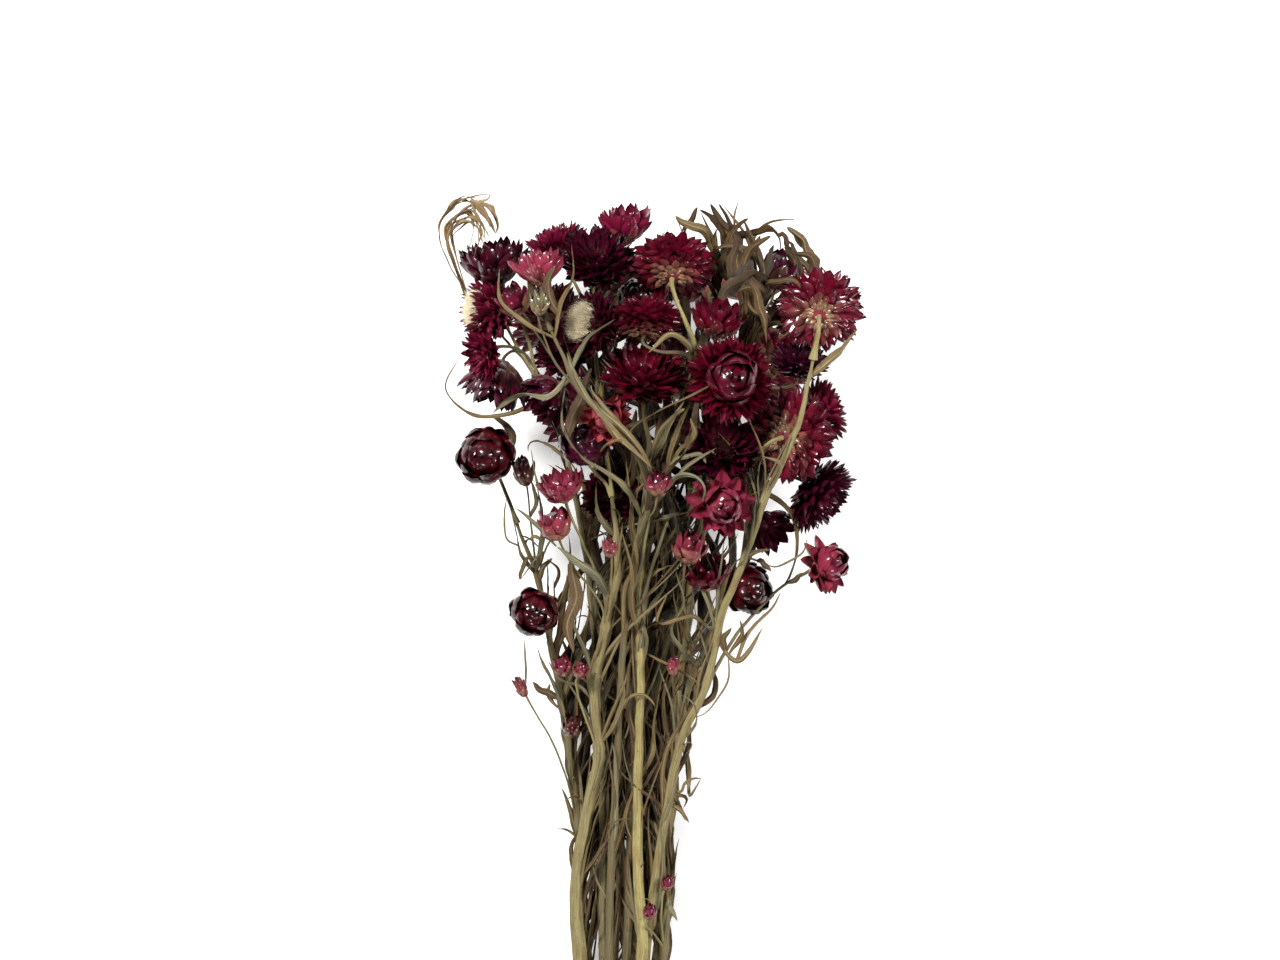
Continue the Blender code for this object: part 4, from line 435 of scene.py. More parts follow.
# Leaves seen one by one that the solids leave out, by stem: half width, age and rise from foot
# to tip, then x and y of each place on its route as seen from above, from its foot
DRAWN_LEAVES = {
    # The bent leafy tip at the upper right, and what hangs from it
    "stem_10": (
        (3.1, 1.17, 12, 47, 350, 46, 361, 53, 362.6, 60, 364, 65.5, 365.5, 69.5, 361, 70, 355),
        (3, 1.22, 16, 46, 344, 43.5, 352, 42, 359, 40.5, 365, 36, 371, 29.4, 375.4),
        (2, 1.27, 16, 46, 350, 47.5, 360, 44.5, 364, 41, 368.5, 37, 374.5, 35, 378),
        (1.8, 1.37, 14, 50, 352, 49, 362, 45.5, 368, 42.5, 373, 39.3, 378),
        (1.6, 1.02, 20, 49, 364, 50, 357, 48.7, 349, 50.6, 340),
        (1.7, 1.22, 16, 61, 343, 59.6, 352, 57, 358, 54, 364, 51.6, 369),
        (2.1, 1.27, 4, 69, 362, 72, 364, 74, 359.5, 74.5, 354, 78, 347, 81, 342),
        (3, 0.87, 10, 87.8, 344, 88, 349, 84.5, 354, 82.5, 360, 78, 363, 73.4, 367),
        (2.1, 1.07, 6, 85, 341, 84.3, 346, 80, 351, 75, 355.5, 72, 361),
        (2.5, 1.17, 6, 88.5, 341, 88.3, 345, 86.3, 351, 81, 353.5, 76, 354),
        (2.1, 0.97, 14, 37, 346, 37.5, 351, 38.5, 357, 37.4, 362.5, 39, 366),
        (1.4, 1.02, 18, 36, 350, 38.3, 355, 46.7, 357.3, 56, 354.8),
        (2, 0.97, 18, 50.6, 338, 51.6, 348, 54.6, 354.3, 59.6, 357.7, 65, 361),
        (1.8, 1.12, 22, 51, 339, 49.7, 345, 49.2, 352, 46.7, 357),
        (1.8, 1.17, 20, 61, 342, 59, 349, 58.6, 356),
        (2.6, 0.82, 8, 43.5, 343, 43.7, 349, 44.3, 357),
        (2.4, 1.27, 6, 82, 343, 80, 350, 77, 357, 73, 361),
        (2.2, 1.17, 5, 86, 343, 87, 349, 85, 355, 80, 359, 76.5, 364.5),
        (2, 1.07, 5, 79, 341, 78, 348, 75, 354, 72, 357),
        (2, 1.17, 8, 55, 336, 54, 346, 56, 355, 60, 362),
        (2.2, 1.27, 8, 46, 336, 45, 346, 48, 356, 46, 363),
        # The next three: broad, nearly black leaves laid low under the tip as painted shade in its
        # gaps
        (4, 1.47, 2, 47, 332, 52, 345, 54, 357),
        (3.4, 1.42, 0, 58, 330, 63, 345, 67, 358),
        (3.2, 1.37, 4, 36, 336, 40, 348, 42, 360),
    ),
    "stem_09": (
        (2.5, 0.6, 14, 36, 352, 35.3, 358, 34, 362, 31, 366, 25.4, 367.5, 20.4, 369, 17.5, 372),
        (1.6, 1.15, 10, 22, 362, 23, 367, 26.4, 372, 29, 377.5),
        (2.2, 0.55, 10, 13, 243, 16, 256, 20, 266, 25, 278),
        (1.6, 0.5, 14, 14, 244, 20, 254, 27, 262, 25, 271),
        # A dark leaf laid low between the heads as painted shade
        (3.4, 1.2, -10, 6, 288, 10, 302, 4, 318),
    ),
    # The lower side of that tip, and dark leaves that close the middle of the head, laid low there
    # as painted shade
    "stem_04": (
        (3.2, 1.32, 6, 40, 328, 44, 335.5, 50, 339.5, 57, 342.5, 64, 340.5),
        (2.4, 0.97, 8, 60, 316, 61.5, 321.6, 59, 328, 57, 334.5, 54, 339),
        (2.8, 1.2, -8, 26, 256, 28, 268, 30, 284),
        (3.6, 1.2, -12, 31, 288, 29, 303, 29, 320),
        (3.4, 1.25, -10, 22, 240, 24, 258, 15, 282),
        (4.4, 1.2, -6, 20, 292, 22, 310, 22, 328, 23, 346),
        (4.2, 1.2, -6, 28, 288, 30, 302, 34, 316, 37, 330),
        (3.6, 1.25, -8, 14, 234, 14, 248, 18, 264),
    ),
    "stem_02": (
        (2.4, 1.25, -8, 6, 254, 2, 266, 0, 282),
        (3.6, 1.15, -14, 8, 236, 12, 255, 19, 278),
        (3.2, 1.3, -10, 0, 236, -5, 255, -2, 276),
        (4.4, 1.1, -4, 14, 250, 20, 264, 25, 278, 28, 294),
        (3.8, 1.2, -6, 10, 258, 13, 272, 15, 290),
    ),
    "stem_08": (
        (3, 1.25, -6, -22, 286, -20, 298, -12, 312),
        (3.2, 1.2, -6, -35, 262, -30, 280, -24, 296),
        (3, 1.1, 4, -42, 322, -46, 334, -42, 346),
        (3.4, 1.25, -6, -48, 318, -52, 330, -56, 342),
        (3.2, 1.2, -6, -20, 290, -24, 302, -22, 318),
        (1.3, 0.25, 6, -53, 222, -52, 230, -55, 240),
    ),
    "stem_11": (
        (3.4, 1.2, -8, 60, 232, 62, 250, 66, 270),
    ),
    # Beside the heads at the left
    "stem_06": (
        (0.8, 0.4, 4, -60, 204, -67, 211, -68, 222, -67, 231),
        (0.7, 0.3, 6, -42, 230, -48, 234, -52, 242, -54.5, 256),
        (0.6, 0.7, 3, -52, 206, -57, 211, -62, 212),
        (1.4, 0.75, 10, -57.5, 186, -59.5, 194, -56, 201, -50.5, 201),
        (1.4, 0.4, 12, -49.5, 186, -49.3, 195, -44, 201),
        (1, 1, 8, -43, 184, -41.5, 194, -47.6, 200),
        (3.4, 1.05, 2, -36, 196, -32.5, 182, -36, 166, -33.5, 153),
        (0.6, 0.6, 2, -55.5, 130, -58, 144.6, -58.5, 160),
        (2, 1, 4, -47.5, 128, -51, 134, -54.5, 138),
        (1.3, 0.3, 6, -45, 122, -46.5, 130, -45.5, 137),
        (0.9, 0.4, 8, -36, 107, -38, 120, -43, 135.5, -49, 146, -52, 155),
    ),
    "stem_01": (
        (1.1, 0.15, 8, -40.5, 206, -50, 216, -56, 221.5, -62, 226),
        (1, 0.3, 8, -25.5, 126, -30.5, 135.5, -40.5, 140, -46.5, 149),
    ),
    "stem_07": (
        (2.2, 1.2, 4, -65, 250, -64.5, 260, -67, 267, -76, 273),
    ),
    # Along the branch at the right
    "stem_03": (
        (1.3, 0.6, 3, 46, 150, 54, 162, 66, 175, 71, 184),
        (0.6, 1.2, 2, 72, 185, 76, 192, 79.6, 204, 80, 212),
        (0.5, 0.4, -6, 46, 150, 44.5, 140, 39, 130, 33.5, 123, 27, 120),
        (1.7, 1, 4, 44, 155, 42, 160, 46, 166),
        (1.6, 0.85, 5, 46, 153, 49, 159, 51.5, 163, 50, 170),
        (1.5, 0.65, 2, 73, 186, 78, 189.5, 82, 193.5),
        (0.6, 0.35, 4, 62, 189, 70, 197, 81, 203, 84, 211),
        (1.8, 1.05, -2, 32, 124, 37, 131, 37.5, 141, 34.5, 149),
    ),
    "stem_12": (
        (1.7, 0.7, 6, 55, 200, 59, 204, 65, 205),
        (1.7, 1, 4, 56, 200, 61, 199, 66, 194),
        (0.9, 0.5, 3, 14, 82, 20.5, 82, 22.5, 86.5, 27, 89, 31.6, 89),
        (1.1, 0.6, 2, 19, 82, 23.8, 78, 22, 73),
        (1.2, 0.6, 0, 14, 75, 19.6, 73.5, 24, 67),
    ),
    # The drooping side of the straw tuft
    "tuft": (
        (1.3, 0.55, 0, -87, 379, -82, 377.5, -78, 373, -74.5, 368, -72, 363),
        (0.9, 0.4, 2, -86, 379, -80, 379.5, -76, 381, -75, 384.5),
        (1.1, 0.7, 3, -84, 378, -79, 376, -76, 371, -75, 366),
        (0.9, 0.5, -2, -88, 378, -85, 373, -84, 367),
        (1.2, 0.45, 4, -82, 378, -77, 378.5, -73.5, 374, -71.5, 368, -72.5, 364),
        (0.8, 0.6, 1, -85, 379, -82, 373, -79, 369),
        (0.9, 0.65, 3, -86, 379, -79, 378, -74, 377, -72, 372),
    ),
}

# Forms of a flower head, in parts of its radius. One row for each station from the outermost
# bract (0) to the innermost (1): reach and height of its root, length, half width, tilt at its
# root above the plane of the head in degrees, bend over its length in degrees, hollow across
# its width, and share of dry tan colour.
FORMS = {
    "open": [
        (0, 0.12, -0.46, 0.2, 0.09, -22, 30, 0.3, 1),
        (0.08, 0.17, -0.42, 0.36, 0.12, -20, 30, 0.4, 0.5),
        (0.2, 0.22, -0.35, 0.6, 0.145, -8, 26, 0.5, 0.08),
        (0.4, 0.28, -0.24, 0.76, 0.145, 4, 28, 0.6, 0),
        (0.62, 0.32, -0.12, 0.74, 0.14, 16, 32, 0.6, 0),
        (0.82, 0.32, -0.02, 0.6, 0.125, 36, 34, 0.6, 0),
        (1, 0.22, 0.06, 0.46, 0.1, 62, 40, 0.5, 0)],
    "disc": [
        (0, 0.15, -0.47, 0.28, 0.09, -26, 30, 0.3, 1),
        (0.1, 0.25, -0.42, 0.42, 0.115, -22, 26, 0.4, 0.4),
        (0.28, 0.36, -0.32, 0.62, 0.125, -10, 20, 0.5, 0.05),
        (0.58, 0.46, -0.18, 0.58, 0.12, 8, 24, 0.6, 0),
        (0.82, 0.5, -0.04, 0.46, 0.1, 34, 20, 0.6, 0),
        (1, 0.5, 0.04, 0.34, 0.07, 60, 14, 0.5, 0.1)],
    "back": [
        (0, 0.08, -0.44, 0.2, 0.045, -46, 60, 0.5, 1),
        (0.12, 0.13, -0.42, 0.26, 0.07, -34, 40, 0.5, 0.8),
        (0.18, 0.17, -0.38, 0.36, 0.105, -26, 24, 0.6, 0.28),
        (0.26, 0.21, -0.33, 0.5, 0.14, -14, 4, 0.7, 0.04),
        (0.48, 0.26, -0.24, 0.68, 0.155, -4, -4, 0.7, 0),
        (0.7, 0.3, -0.13, 0.74, 0.15, 4, 6, 0.7, 0),
        (0.88, 0.32, -0.02, 0.6, 0.13, 24, 16, 0.6, 0),
        (1, 0.3, 0.04, 0.42, 0.1, 56, 20, 0.5, 0)],
    "fringed": [
        (0, 0.12, -0.46, 0.22, 0.08, -20, 30, 0.3, 1),
        (0.08, 0.18, -0.41, 0.38, 0.1, -16, 24, 0.4, 0.4),
        (0.18, 0.24, -0.34, 0.6, 0.1, -6, 14, 0.5, 0.06),
        (0.42, 0.3, -0.24, 0.72, 0.095, 4, 12, 0.6, 0),
        (0.7, 0.34, -0.12, 0.62, 0.095, 16, 20, 0.6, 0),
        (0.88, 0.38, -0.06, 0.44, 0.11, 30, 34, 0.6, 0),
        (0.9, 0.36, -0.1, 0.7, 0.34, 34, 88, 0.5, 0),
        (0.95, 0.3, -0.06, 0.8, 0.38, 44, 104, 0.5, 0),
        (1, 0.12, 0, 0.7, 0.3, 62, 98, 0.5, 0)],
    "globe": [
        (0, 0.13, -0.47, 0.34, 0.17, 0, 50, 0.4, 0.6),
        (0.16, 0.2, -0.45, 0.62, 0.26, 4, 82, 0.5, 0.04),
        (0.34, 0.24, -0.42, 0.9, 0.33, 9, 100, 0.5, 0),
        (0.54, 0.24, -0.36, 1.12, 0.37, 17, 118, 0.5, 0),
        (0.74, 0.2, -0.3, 1.14, 0.38, 30, 134, 0.5, 0),
        (0.88, 0.16, -0.22, 1.04, 0.33, 44, 134, 0.5, 0),
        (1, 0.1, -0.1, 0.84, 0.26, 60, 126, 0.5, 0)],
    "star": [
        (0, 0.12, -0.48, 0.28, 0.1, -10, 30, 0.4, 0.9),
        (0.14, 0.18, -0.41, 0.52, 0.15, -4, 20, 0.6, 0.35),
        (0.3, 0.22, -0.32, 0.76, 0.22, 4, 20, 0.8, 0.06),
        (0.56, 0.26, -0.2, 0.68, 0.22, 16, 30, 0.8, 0),
        (0.66, 0.28, -0.16, 0.58, 0.22, 34, 50, 0.7, 0),
        (0.72, 0.28, -0.14, 0.84, 0.36, 36, 90, 0.5, 0),
        (0.88, 0.22, -0.08, 0.82, 0.35, 48, 104, 0.5, 0),
        (1, 0.12, 0, 0.68, 0.28, 64, 94, 0.5, 0)],
    "cup": [
        (0, 0.15, -0.73, 0.3, 0.13, 16, 44, 0.4, 0.9),
        (0.12, 0.22, -0.69, 0.5, 0.19, 20, 46, 0.5, 0.3),
        (0.3, 0.29, -0.6, 0.86, 0.24, 22, 54, 0.7, 0.04),
        (0.6, 0.34, -0.5, 1.06, 0.24, 28, 54, 0.7, 0),
        (0.85, 0.3, -0.42, 1.06, 0.22, 42, 56, 0.6, 0),
        (1, 0.22, -0.34, 0.96, 0.18, 60, 50, 0.5, 0)],
    "bud": [
        (0, 0.2, -0.92, 0.6, 0.24, 12, 60, 0.5, 0.9),
        (0.3, 0.3, -0.84, 1.1, 0.34, 18, 80, 0.6, 0.4),
        (0.6, 0.34, -0.7, 1.36, 0.38, 32, 82, 0.7, 0.05),
        (1, 0.2, -0.52, 1.32, 0.32, 56, 66, 0.6, 0)],
}
FORM_OF_KIND = {"open": "open", "ball": "fringed", "star": "star", "cup": "cup", "back": "back",
                "bud": "bud"}
FORM_OF_BLOOM = {"bloom_05": "disc", "bloom_14": "disc", "under_02": "disc",
                 "bloom_08": "globe", "bloom_41": "globe", "bloom_29": "globe",
                 "bloom_15": "globe", "bloom_34": "globe", "under_05": "globe"}
# Bracts in a head of 16 mm radius, and where a bract is widest (above 1: nearer its tip)
BRACTS = {"open": (118, 1.10), "disc": (150, 1.10), "back": (146, 1.15), "fringed": (150, 1.10),
          "globe": (52, 1.25), "star": (44, 1.05), "cup": (60, 1.15), "bud": (26, 1.10)}
# How much larger than its solid a head is drawn
BLOOM_GROWTH = dict(
    bloom_08=1.2, bloom_41=1.2, bloom_29=1.15, bloom_34=1.12, bloom_26=1.35, bloom_27=1.2,
    bloom_28=1.12, bloom_18=0.95, bloom_39=1.2, bloom_07=1.35, bloom_13=0.97, bloom_20=0.98,
    bloom_38=1.1, bloom_14=0.98, bloom_46=1.2, bloom_23=1.1, bloom_24=1.08, bloom_32=1.15,
    bloom_22=1.15, bloom_15=1.1, bloom_19=1.08, bloom_30=1.15, bloom_50=1.25, bloom_36=1.1,
    bloom_35=1.05, bloom_31=1.06, bloom_10=1.12, bloom_16=1.05, bloom_01=1.22, bloom_05=1.08,
    bloom_06=0.88, bloom_11=1.15, bloom_12=1.15, bloom_21=1.3, bloom_03=1.15, under_01=1.35,
    under_02=1.3, under_03=1.35, under_04=1.35, under_05=1.5, under_06=1.5, under_07=1.45)
HEAD_STRETCH = {"bloom_33": 1.3, "bloom_05": 1.75, "bloom_14": 1.25}    # deeper along its axis
GOLDEN_ANGLE = math.pi * (3 - math.sqrt(5))

# Closed core of a head that carries its bracts, as (reach, height) in parts of the radius
CORES = {
    "disc": [(0.13, -0.5), (0.24, -0.46), (0.48, -0.24), (0.6, 0.02), (0.56, 0.16),
             (0.34, 0.26)],
    "cup": [(0.15, -0.76), (0.26, -0.66), (0.38, -0.46), (0.36, -0.2), (0.18, -0.1)],
    "bud": [(0.2, -0.95), (0.36, -0.84), (0.56, -0.4), (0.56, 0.1), (0.3, 0.45)],
    "other": [(0.12, -0.5), (0.22, -0.45), (0.34, -0.28), (0.36, -0.06), (0.26, 0.06)],
}

# Colours of the bracts as sRGB hex: foot, body, second body tone, tip
BRACT_COLOURS = {
    "maroon": ("6c1a28", "4a0620", "2a0412", "0e0206"),
    "crimson": ("983844", "660620", "400416", "22020c"),
    "garnet": ("74121c", "48040f", "2a0208", "120103"),
    "magenta": ("a44058", "7c1436", "520a26", "2c0414"),
    "plum": ("6a1e38", "4a0c26", "2e0616", "16020a"),
    "rose": ("cc8474", "8c2c42", "6a1a2c", "480e1e"),
    "coral": ("dc9c88", "a8464e", "8a2c3a", "5c1a28"),
    "green": ("8c8460", "6c6846", "4c4a30", "5c3428"),
}
# Heads whose colour differs from that of their record material
LOOK_OF_BLOOM = {"bloom_33": "coral", "bloom_12": "magenta"}
DRY_SCALE = ("9a7a5c", "5a3626")        # involucre scales: light and dark

# Studio
FLOOR_LEVEL = 0.0
FLOOR_REACH = 2.5           # metres from its middle to its edge
FLOOR_COLOUR = "e0e0de"
LIT_PLACE = (0.0, 0.10, 0.04)           # where the lights point
FRAME_WIDTH = 0.64          # metres across the picture at the middle of the heads
FOCUS_LEVEL = 0.075
FRAME_MIDDLE = (-0.0042, 0.1146)


def unit(vector):
    """The vector at length 1."""
    vector = np.asarray(vector, float)
    return vector / np.linalg.norm(vector)


def bloom_frame(facing):
    """Three columns: two across the bloom and one along the way it faces."""
    ahead = unit(facing)
    side = unit(np.cross((0.31, 0.17, 1.0) if abs(ahead[2]) < 0.9 else (0, 1, 0), ahead))
    return np.stack([side, np.cross(ahead, side), ahead], axis=1)


def columns_of(kind, radius):
    """How many columns a bloom's solid has: two for each bract of a layer, and more bracts the
    larger the bloom is."""
    if kind in ("star", "bud") or radius < 15.2:
        return 12
    return 16 if radius > 20.5 else 14


def bloom_points(kind, radius, facing, seed):
    """Points of a bloom's solid about its middle.

    Point k of a ring stands at the angle 2 pi k / n, at the ring's radius and height for even or
    odd k, and each bract point is a little longer or shorter than the next by a sine of its place.
    """
    count = columns_of(kind, radius)
    column = np.arange(count)
    angle = 2 * math.pi * column / count
    base = RINGS[kind][0][2]
    rows = []
    for row, (even_reach, odd_reach, even_height, odd_height) in enumerate(RINGS[kind]):
        reach = np.where(column % 2 == 0, even_reach, odd_reach)
        height = np.where(column % 2 == 0, even_height, odd_height)
        wave = np.sin(2.3 * column + 1.7 * row + seed) if even_reach != odd_reach else 0 * angle
        longer = 1 - 0.05 * (1 + wave) * (reach == max(even_reach, odd_reach))
        rows.append(np.stack([reach * longer * np.cos(angle), reach * longer * np.sin(angle),
                              height + 0.02 * wave], axis=1))
    rows[0][:, 2] = base
    grid = np.concatenate(rows + [np.array([[0, 0, base], [0, 0, MIDDLE_HEIGHT[kind]]])])
    return grid * radius @ bloom_frame(facing).T


def smooth_route(points, step):
    """Evenly spaced points on a smooth curve through the given ones (a Catmull-Rom curve)."""
    points = np.asarray(points, float)
    ahead = np.vstack([points[0] * 2 - points[1], points, points[-1] * 2 - points[-2]])
    fine = []
    for k in range(1, len(ahead) - 2):
        t = np.linspace(0, 1, 24, endpoint=False)[:, None]
        before, start, end, after = ahead[k - 1], ahead[k], ahead[k + 1], ahead[k + 2]
        fine.append(0.5 * (2 * start + (end - before) * t
                           + (2 * before - 5 * start + 4 * end - after) * t ** 2
                           + (3 * start - before - 3 * end + after) * t ** 3))
    fine = np.vstack(fine + [points[-1:]])
    along = np.concatenate([[0], np.cumsum(np.linalg.norm(np.diff(fine, axis=0), axis=1))])
    places = np.linspace(0, along[-1], max(3, int(round(along[-1] / step)) + 1))
    return np.stack([np.interp(places, along, fine[:, k]) for k in range(3)], axis=1)


def stalk_route(start, start_way, end, end_way, parts):
    """Points of a cubic curve that leaves start along start_way and runs into a straight neck,
    which reaches end along end_way."""
    neck = end - end_way * min(STALK_NECK, 0.3 * np.linalg.norm(end - start))
    pull = 0.9 * np.linalg.norm(neck - start)
    t = np.linspace(0, 1, parts)[:, None]
    curve = ((2 * t ** 3 - 3 * t ** 2 + 1) * start + (t ** 3 - 2 * t ** 2 + t) * pull * start_way
             + (3 * t ** 2 - 2 * t ** 3) * neck + (t ** 3 - t ** 2) * pull * end_way)
    return np.vstack([curve, end[None]])


def stem_route(name):
    """A stem's points from its cut end, straight through its place in the tie, to its top."""
    reach, degrees, low, high, above = STEMS[name]
    angle = math.radians(degrees)
    across = np.array([reach * math.cos(angle), 0, reach * math.sin(angle)])
    middle = np.array([BUNDLE_X, 0, BUNDLE_Z])
    cut = CUT_END_Y + CUT_RAGGEDNESS * math.sin(2.1 * degrees)
    tied = [middle + CUT_END_SPREAD * across + (0, cut, CUT_END_RISE),
            middle + across + (0, TIE_Y - TIE_STRETCH, 0),
            middle + across + (0, TIE_Y + TIE_STRETCH, 0)]
    free = smooth_route([tied[2]] + settled_down(above), STEM_STEP)
    return np.vstack([tied[:2], free])


def stem_radii(name, route):
    """A stem's radius at each point: squeezed at the tie, then from low to high."""
    reach, degrees, low, high, above = STEMS[name]
    rise = np.clip(route[:, 1] / above[-1][1], 0, 1)
    radii = low + (high - low) * rise
    return np.where(is_tied(route[:, 1]), TIED_STEM_RADIUS, radii)


def is_tied(y):
    """Whether a point of a stem lies in or below the tie, where it can't move."""
    return y < TIE_Y + TIE_STRETCH + 2


def settled_down(points):
    """Table points with their heights lowered as the head flattens."""
    return [(x, y, z * HEAD_FLATTENING) for x, y, z in points]


class Chains:
    """All routes of the bunch as one list of points, with what each of them belongs to."""

    def __init__(self):
        self.points, self.radii, self.node, self.free = [], [], [], []
        self.links, self.follows, self.routes = [], [], {}
        self.balls = {}

    def add_route(self, key, node, route, radii, follows=None, owner=None):
        """Add a route. Its first point may follow an earlier point; the last links may belong to
        the bloom named owner, whose balls they don't push."""
        first = len(self.points)
        for k, (point, radius) in enumerate(zip(route, radii)):
            self.points.append(point)
            self.radii.append(radius)
            self.node.append(node)
            self.free.append(0.0 if follows is None and is_tied(point[1]) else 1.0)
            if k:
                held = owner if owner and k == len(route) - 1 else None
                self.links.append((first + k - 1, first + k, held))
        self.routes[key] = (first, first + len(route))
        if follows is not None:
            self.follows.append((first, *follows))
        return first

    def add_balls(self, key, node, centre, kind, radius, facing):
        """Add the balls of a bloom."""
        frame = bloom_frame(facing)
        first = len(self.points)
        for reach, height, ball, count in BALLS[kind]:
            for k in range(count):
                angle = 2 * math.pi * k / count
                local = np.array([reach * math.cos(angle), reach * math.sin(angle), height])
                self.points.append(centre + frame @ local * radius)
                self.radii.append(ball * radius)
                self.node.append(node)
                self.free.append(0.5)
                self.links.append((len(self.points) - 1, len(self.points) - 1, key))
        self.balls[key] = (first, len(self.points))

    def route(self, key, points):
        """The points of one route out of all."""
        first, last = self.routes[key]
        return points[first:last]


def nearest_between(a, b, c, d):
    """Where the lines a-b and c-d come nearest, as parts of each, for arrays of lines."""
    one, two, gap = b - a, d - c, a - c
    aa = np.einsum("ij,ij->i", one, one) + 1e-9
    ee = np.einsum("ij,ij->i", two, two) + 1e-9
    ff = np.einsum("ij,ij->i", two, gap)
    cc = np.einsum("ij,ij->i", one, gap)
    bb = np.einsum("ij,ij->i", one, two)
    s = np.clip((bb * ff - cc * ee) / (aa * ee - bb * bb + 1e-9), 0, 1)
    t = np.clip((bb * s + ff) / ee, 0, 1)
    s = np.clip((bb * t - cc) / aa, 0, 1)
    return s, t


def near_pairs(points, first, second, reach, number, owner):
    """Pairs of links that are close, of different nodes, and not a stalk with its own bloom."""
    middle = (points[first] + points[second]) / 2
    size = np.linalg.norm(points[first] - points[second], axis=1) / 2 + reach + SEARCH_MARGIN
    apart = np.linalg.norm(middle[:, None] - middle[None], axis=2)
    close = apart < size[:, None] + size[None]
    close &= number[:, None] != number[None]
    close &= ~((owner[:, None] == owner[None]) & (owner[:, None] >= 0))
    return np.nonzero(np.triu(close))


def settle(chains):
    """Move the routes and blooms apart over SETTLE_ROUNDS rounds, wherever one is nearer to another
    than CLEARANCE.

    In each round every pair that is too near is pushed apart by half its overlap. The moves are
    then spread along each route by averaging with its neighbours, less and less as rounds go by,
    balls of one bloom move as one, and nothing sinks below the surface.
    """
    start = np.array(chains.points)
    points = start.copy()
    radii, free = np.array(chains.radii), np.array(chains.free)
    keys = sorted(set(chains.node))
    node = np.array([keys.index(name) for name in chains.node])
    first = np.array([link[0] for link in chains.links])
    second = np.array([link[1] for link in chains.links])
    blooms = sorted(chains.balls)
    owner = np.array([blooms.index(link[2]) if link[2] in blooms else -1 for link in chains.links])
    reach = np.maximum(radii[first], radii[second])
    number = node[first]
    inner = np.zeros(len(points), bool)
    for low, high in chains.routes.values():
        inner[low + 1:high - 1] = True
    inner = np.nonzero(inner)[0]
    grounded = [name for name, row in BLOOMS.items() if row[1][2] is None]
    for turn in range(SETTLE_ROUNDS):
        if turn % ROUNDS_PER_SEARCH == 0:
            one, two = near_pairs(points, first, second, reach, number, owner)
        s, t = nearest_between(points[first[one]], points[second[one]],
                               points[first[two]], points[second[two]])
        at_one = points[first[one]] * (1 - s)[:, None] + points[second[one]] * s[:, None]
        at_two = points[first[two]] * (1 - t)[:, None] + points[second[two]] * t[:, None]
        apart = at_one - at_two
        distance = np.linalg.norm(apart, axis=1)
        overlap = reach[one] + reach[two] + CLEARANCE - distance
        hit = overlap > 0
        way = apart[hit] / (distance[hit, None] + 1e-6)
        push = 0.5 * overlap[hit, None] * way
        move = np.zeros_like(points)
        count = np.full(len(points), 1e-6)
        for ends, part, sign in ((first[one][hit], 1 - s[hit], 1), (second[one][hit], s[hit], 1),
                                 (first[two][hit], 1 - t[hit], -1), (second[two][hit], t[hit], -1)):
            np.add.at(move, ends, sign * push * part[:, None])
            np.add.at(count, ends, part)
        points += free[:, None] * move / np.maximum(count, 1)[:, None] * PUSH_STRENGTH
        shift = points - start
        smoothing = SMOOTHING * max(0.0, 1 - turn / (SMOOTHED_ROUNDS * SETTLE_ROUNDS))
        share = smoothing * free[inner, None]
        shift[inner] = ((1 - share) * shift[inner]
                        + share * (shift[inner - 1] + shift[inner + 1]) / 2)
        for name in blooms:
            low, high = chains.balls[name]
            whole = move[low:high]
            touched = np.linalg.norm(whole, axis=1) > 1e-9
            shift[low:high] = bloom_shift(shift[low:high], whole, touched, name in grounded)
            if name in chains.routes:
                end = chains.routes[name][1]
                shift[end - 2:end] = shift[low]
        for follower, leader, part in chains.follows:
            shift[follower] = shift[leader] * (1 - part) + shift[leader + 1 * (part > 0)] * part
        points = start + shift
        sunk = inner[points[inner, 2] < radii[inner] + SURFACE_GAP]
        points[sunk, 2] = radii[sunk] + SURFACE_GAP
    return points


def bloom_shift(shifts, moves, touched, grounded):
    """One shift for all balls of a bloom: the mean of the shifts, led by those that were pushed."""
    base = np.median(shifts[~touched], axis=0) if (~touched).any() else shifts.mean(axis=0)
    if touched.any():
        base = base + BLOOM_PUSH_STRENGTH * moves[touched].sum(axis=0) / max(2, touched.sum())
    if grounded:
        base[2] = 0
    return np.repeat(base[None], len(shifts), axis=0)


def place_blooms():
    """Middle of every bloom. One with no height of its own lies with its lowest point on z = 0."""
    places = {}
    for number, (name, row) in enumerate(BLOOMS.items()):
        kind, place, radius, facing = row[:4]
        if place[2] is None:
            height = -bloom_points(kind, radius, facing, number)[:, 2].min()
        else:
            height = place[2] * HEAD_FLATTENING
        places[name] = np.array([place[0], place[1], height], float)
    return places


def stalk_base(kind, middle, radius, facing):
    """Point where a stalk ends under a bloom."""
    return middle + unit(facing) * (RINGS[kind][0][2] * radius - SEAT_GAP)


def stalk_radius(radius):
    """A bigger bloom has a thicker stalk."""
    return STALK_RADIUS_LEAST + STALK_GROWTH * radius


def join_index(chains, stem, y):
    """Number of the stem's point nearest to y, or of its last point, and the way it runs."""
    first, last = chains.routes[stem]
    route = np.array(chains.points[first:last])
    k = len(route) - 1 if y is None else int(np.argmin(abs(route[:, 1] - y)))
    return first + k, unit(route[k] - route[k - 1])


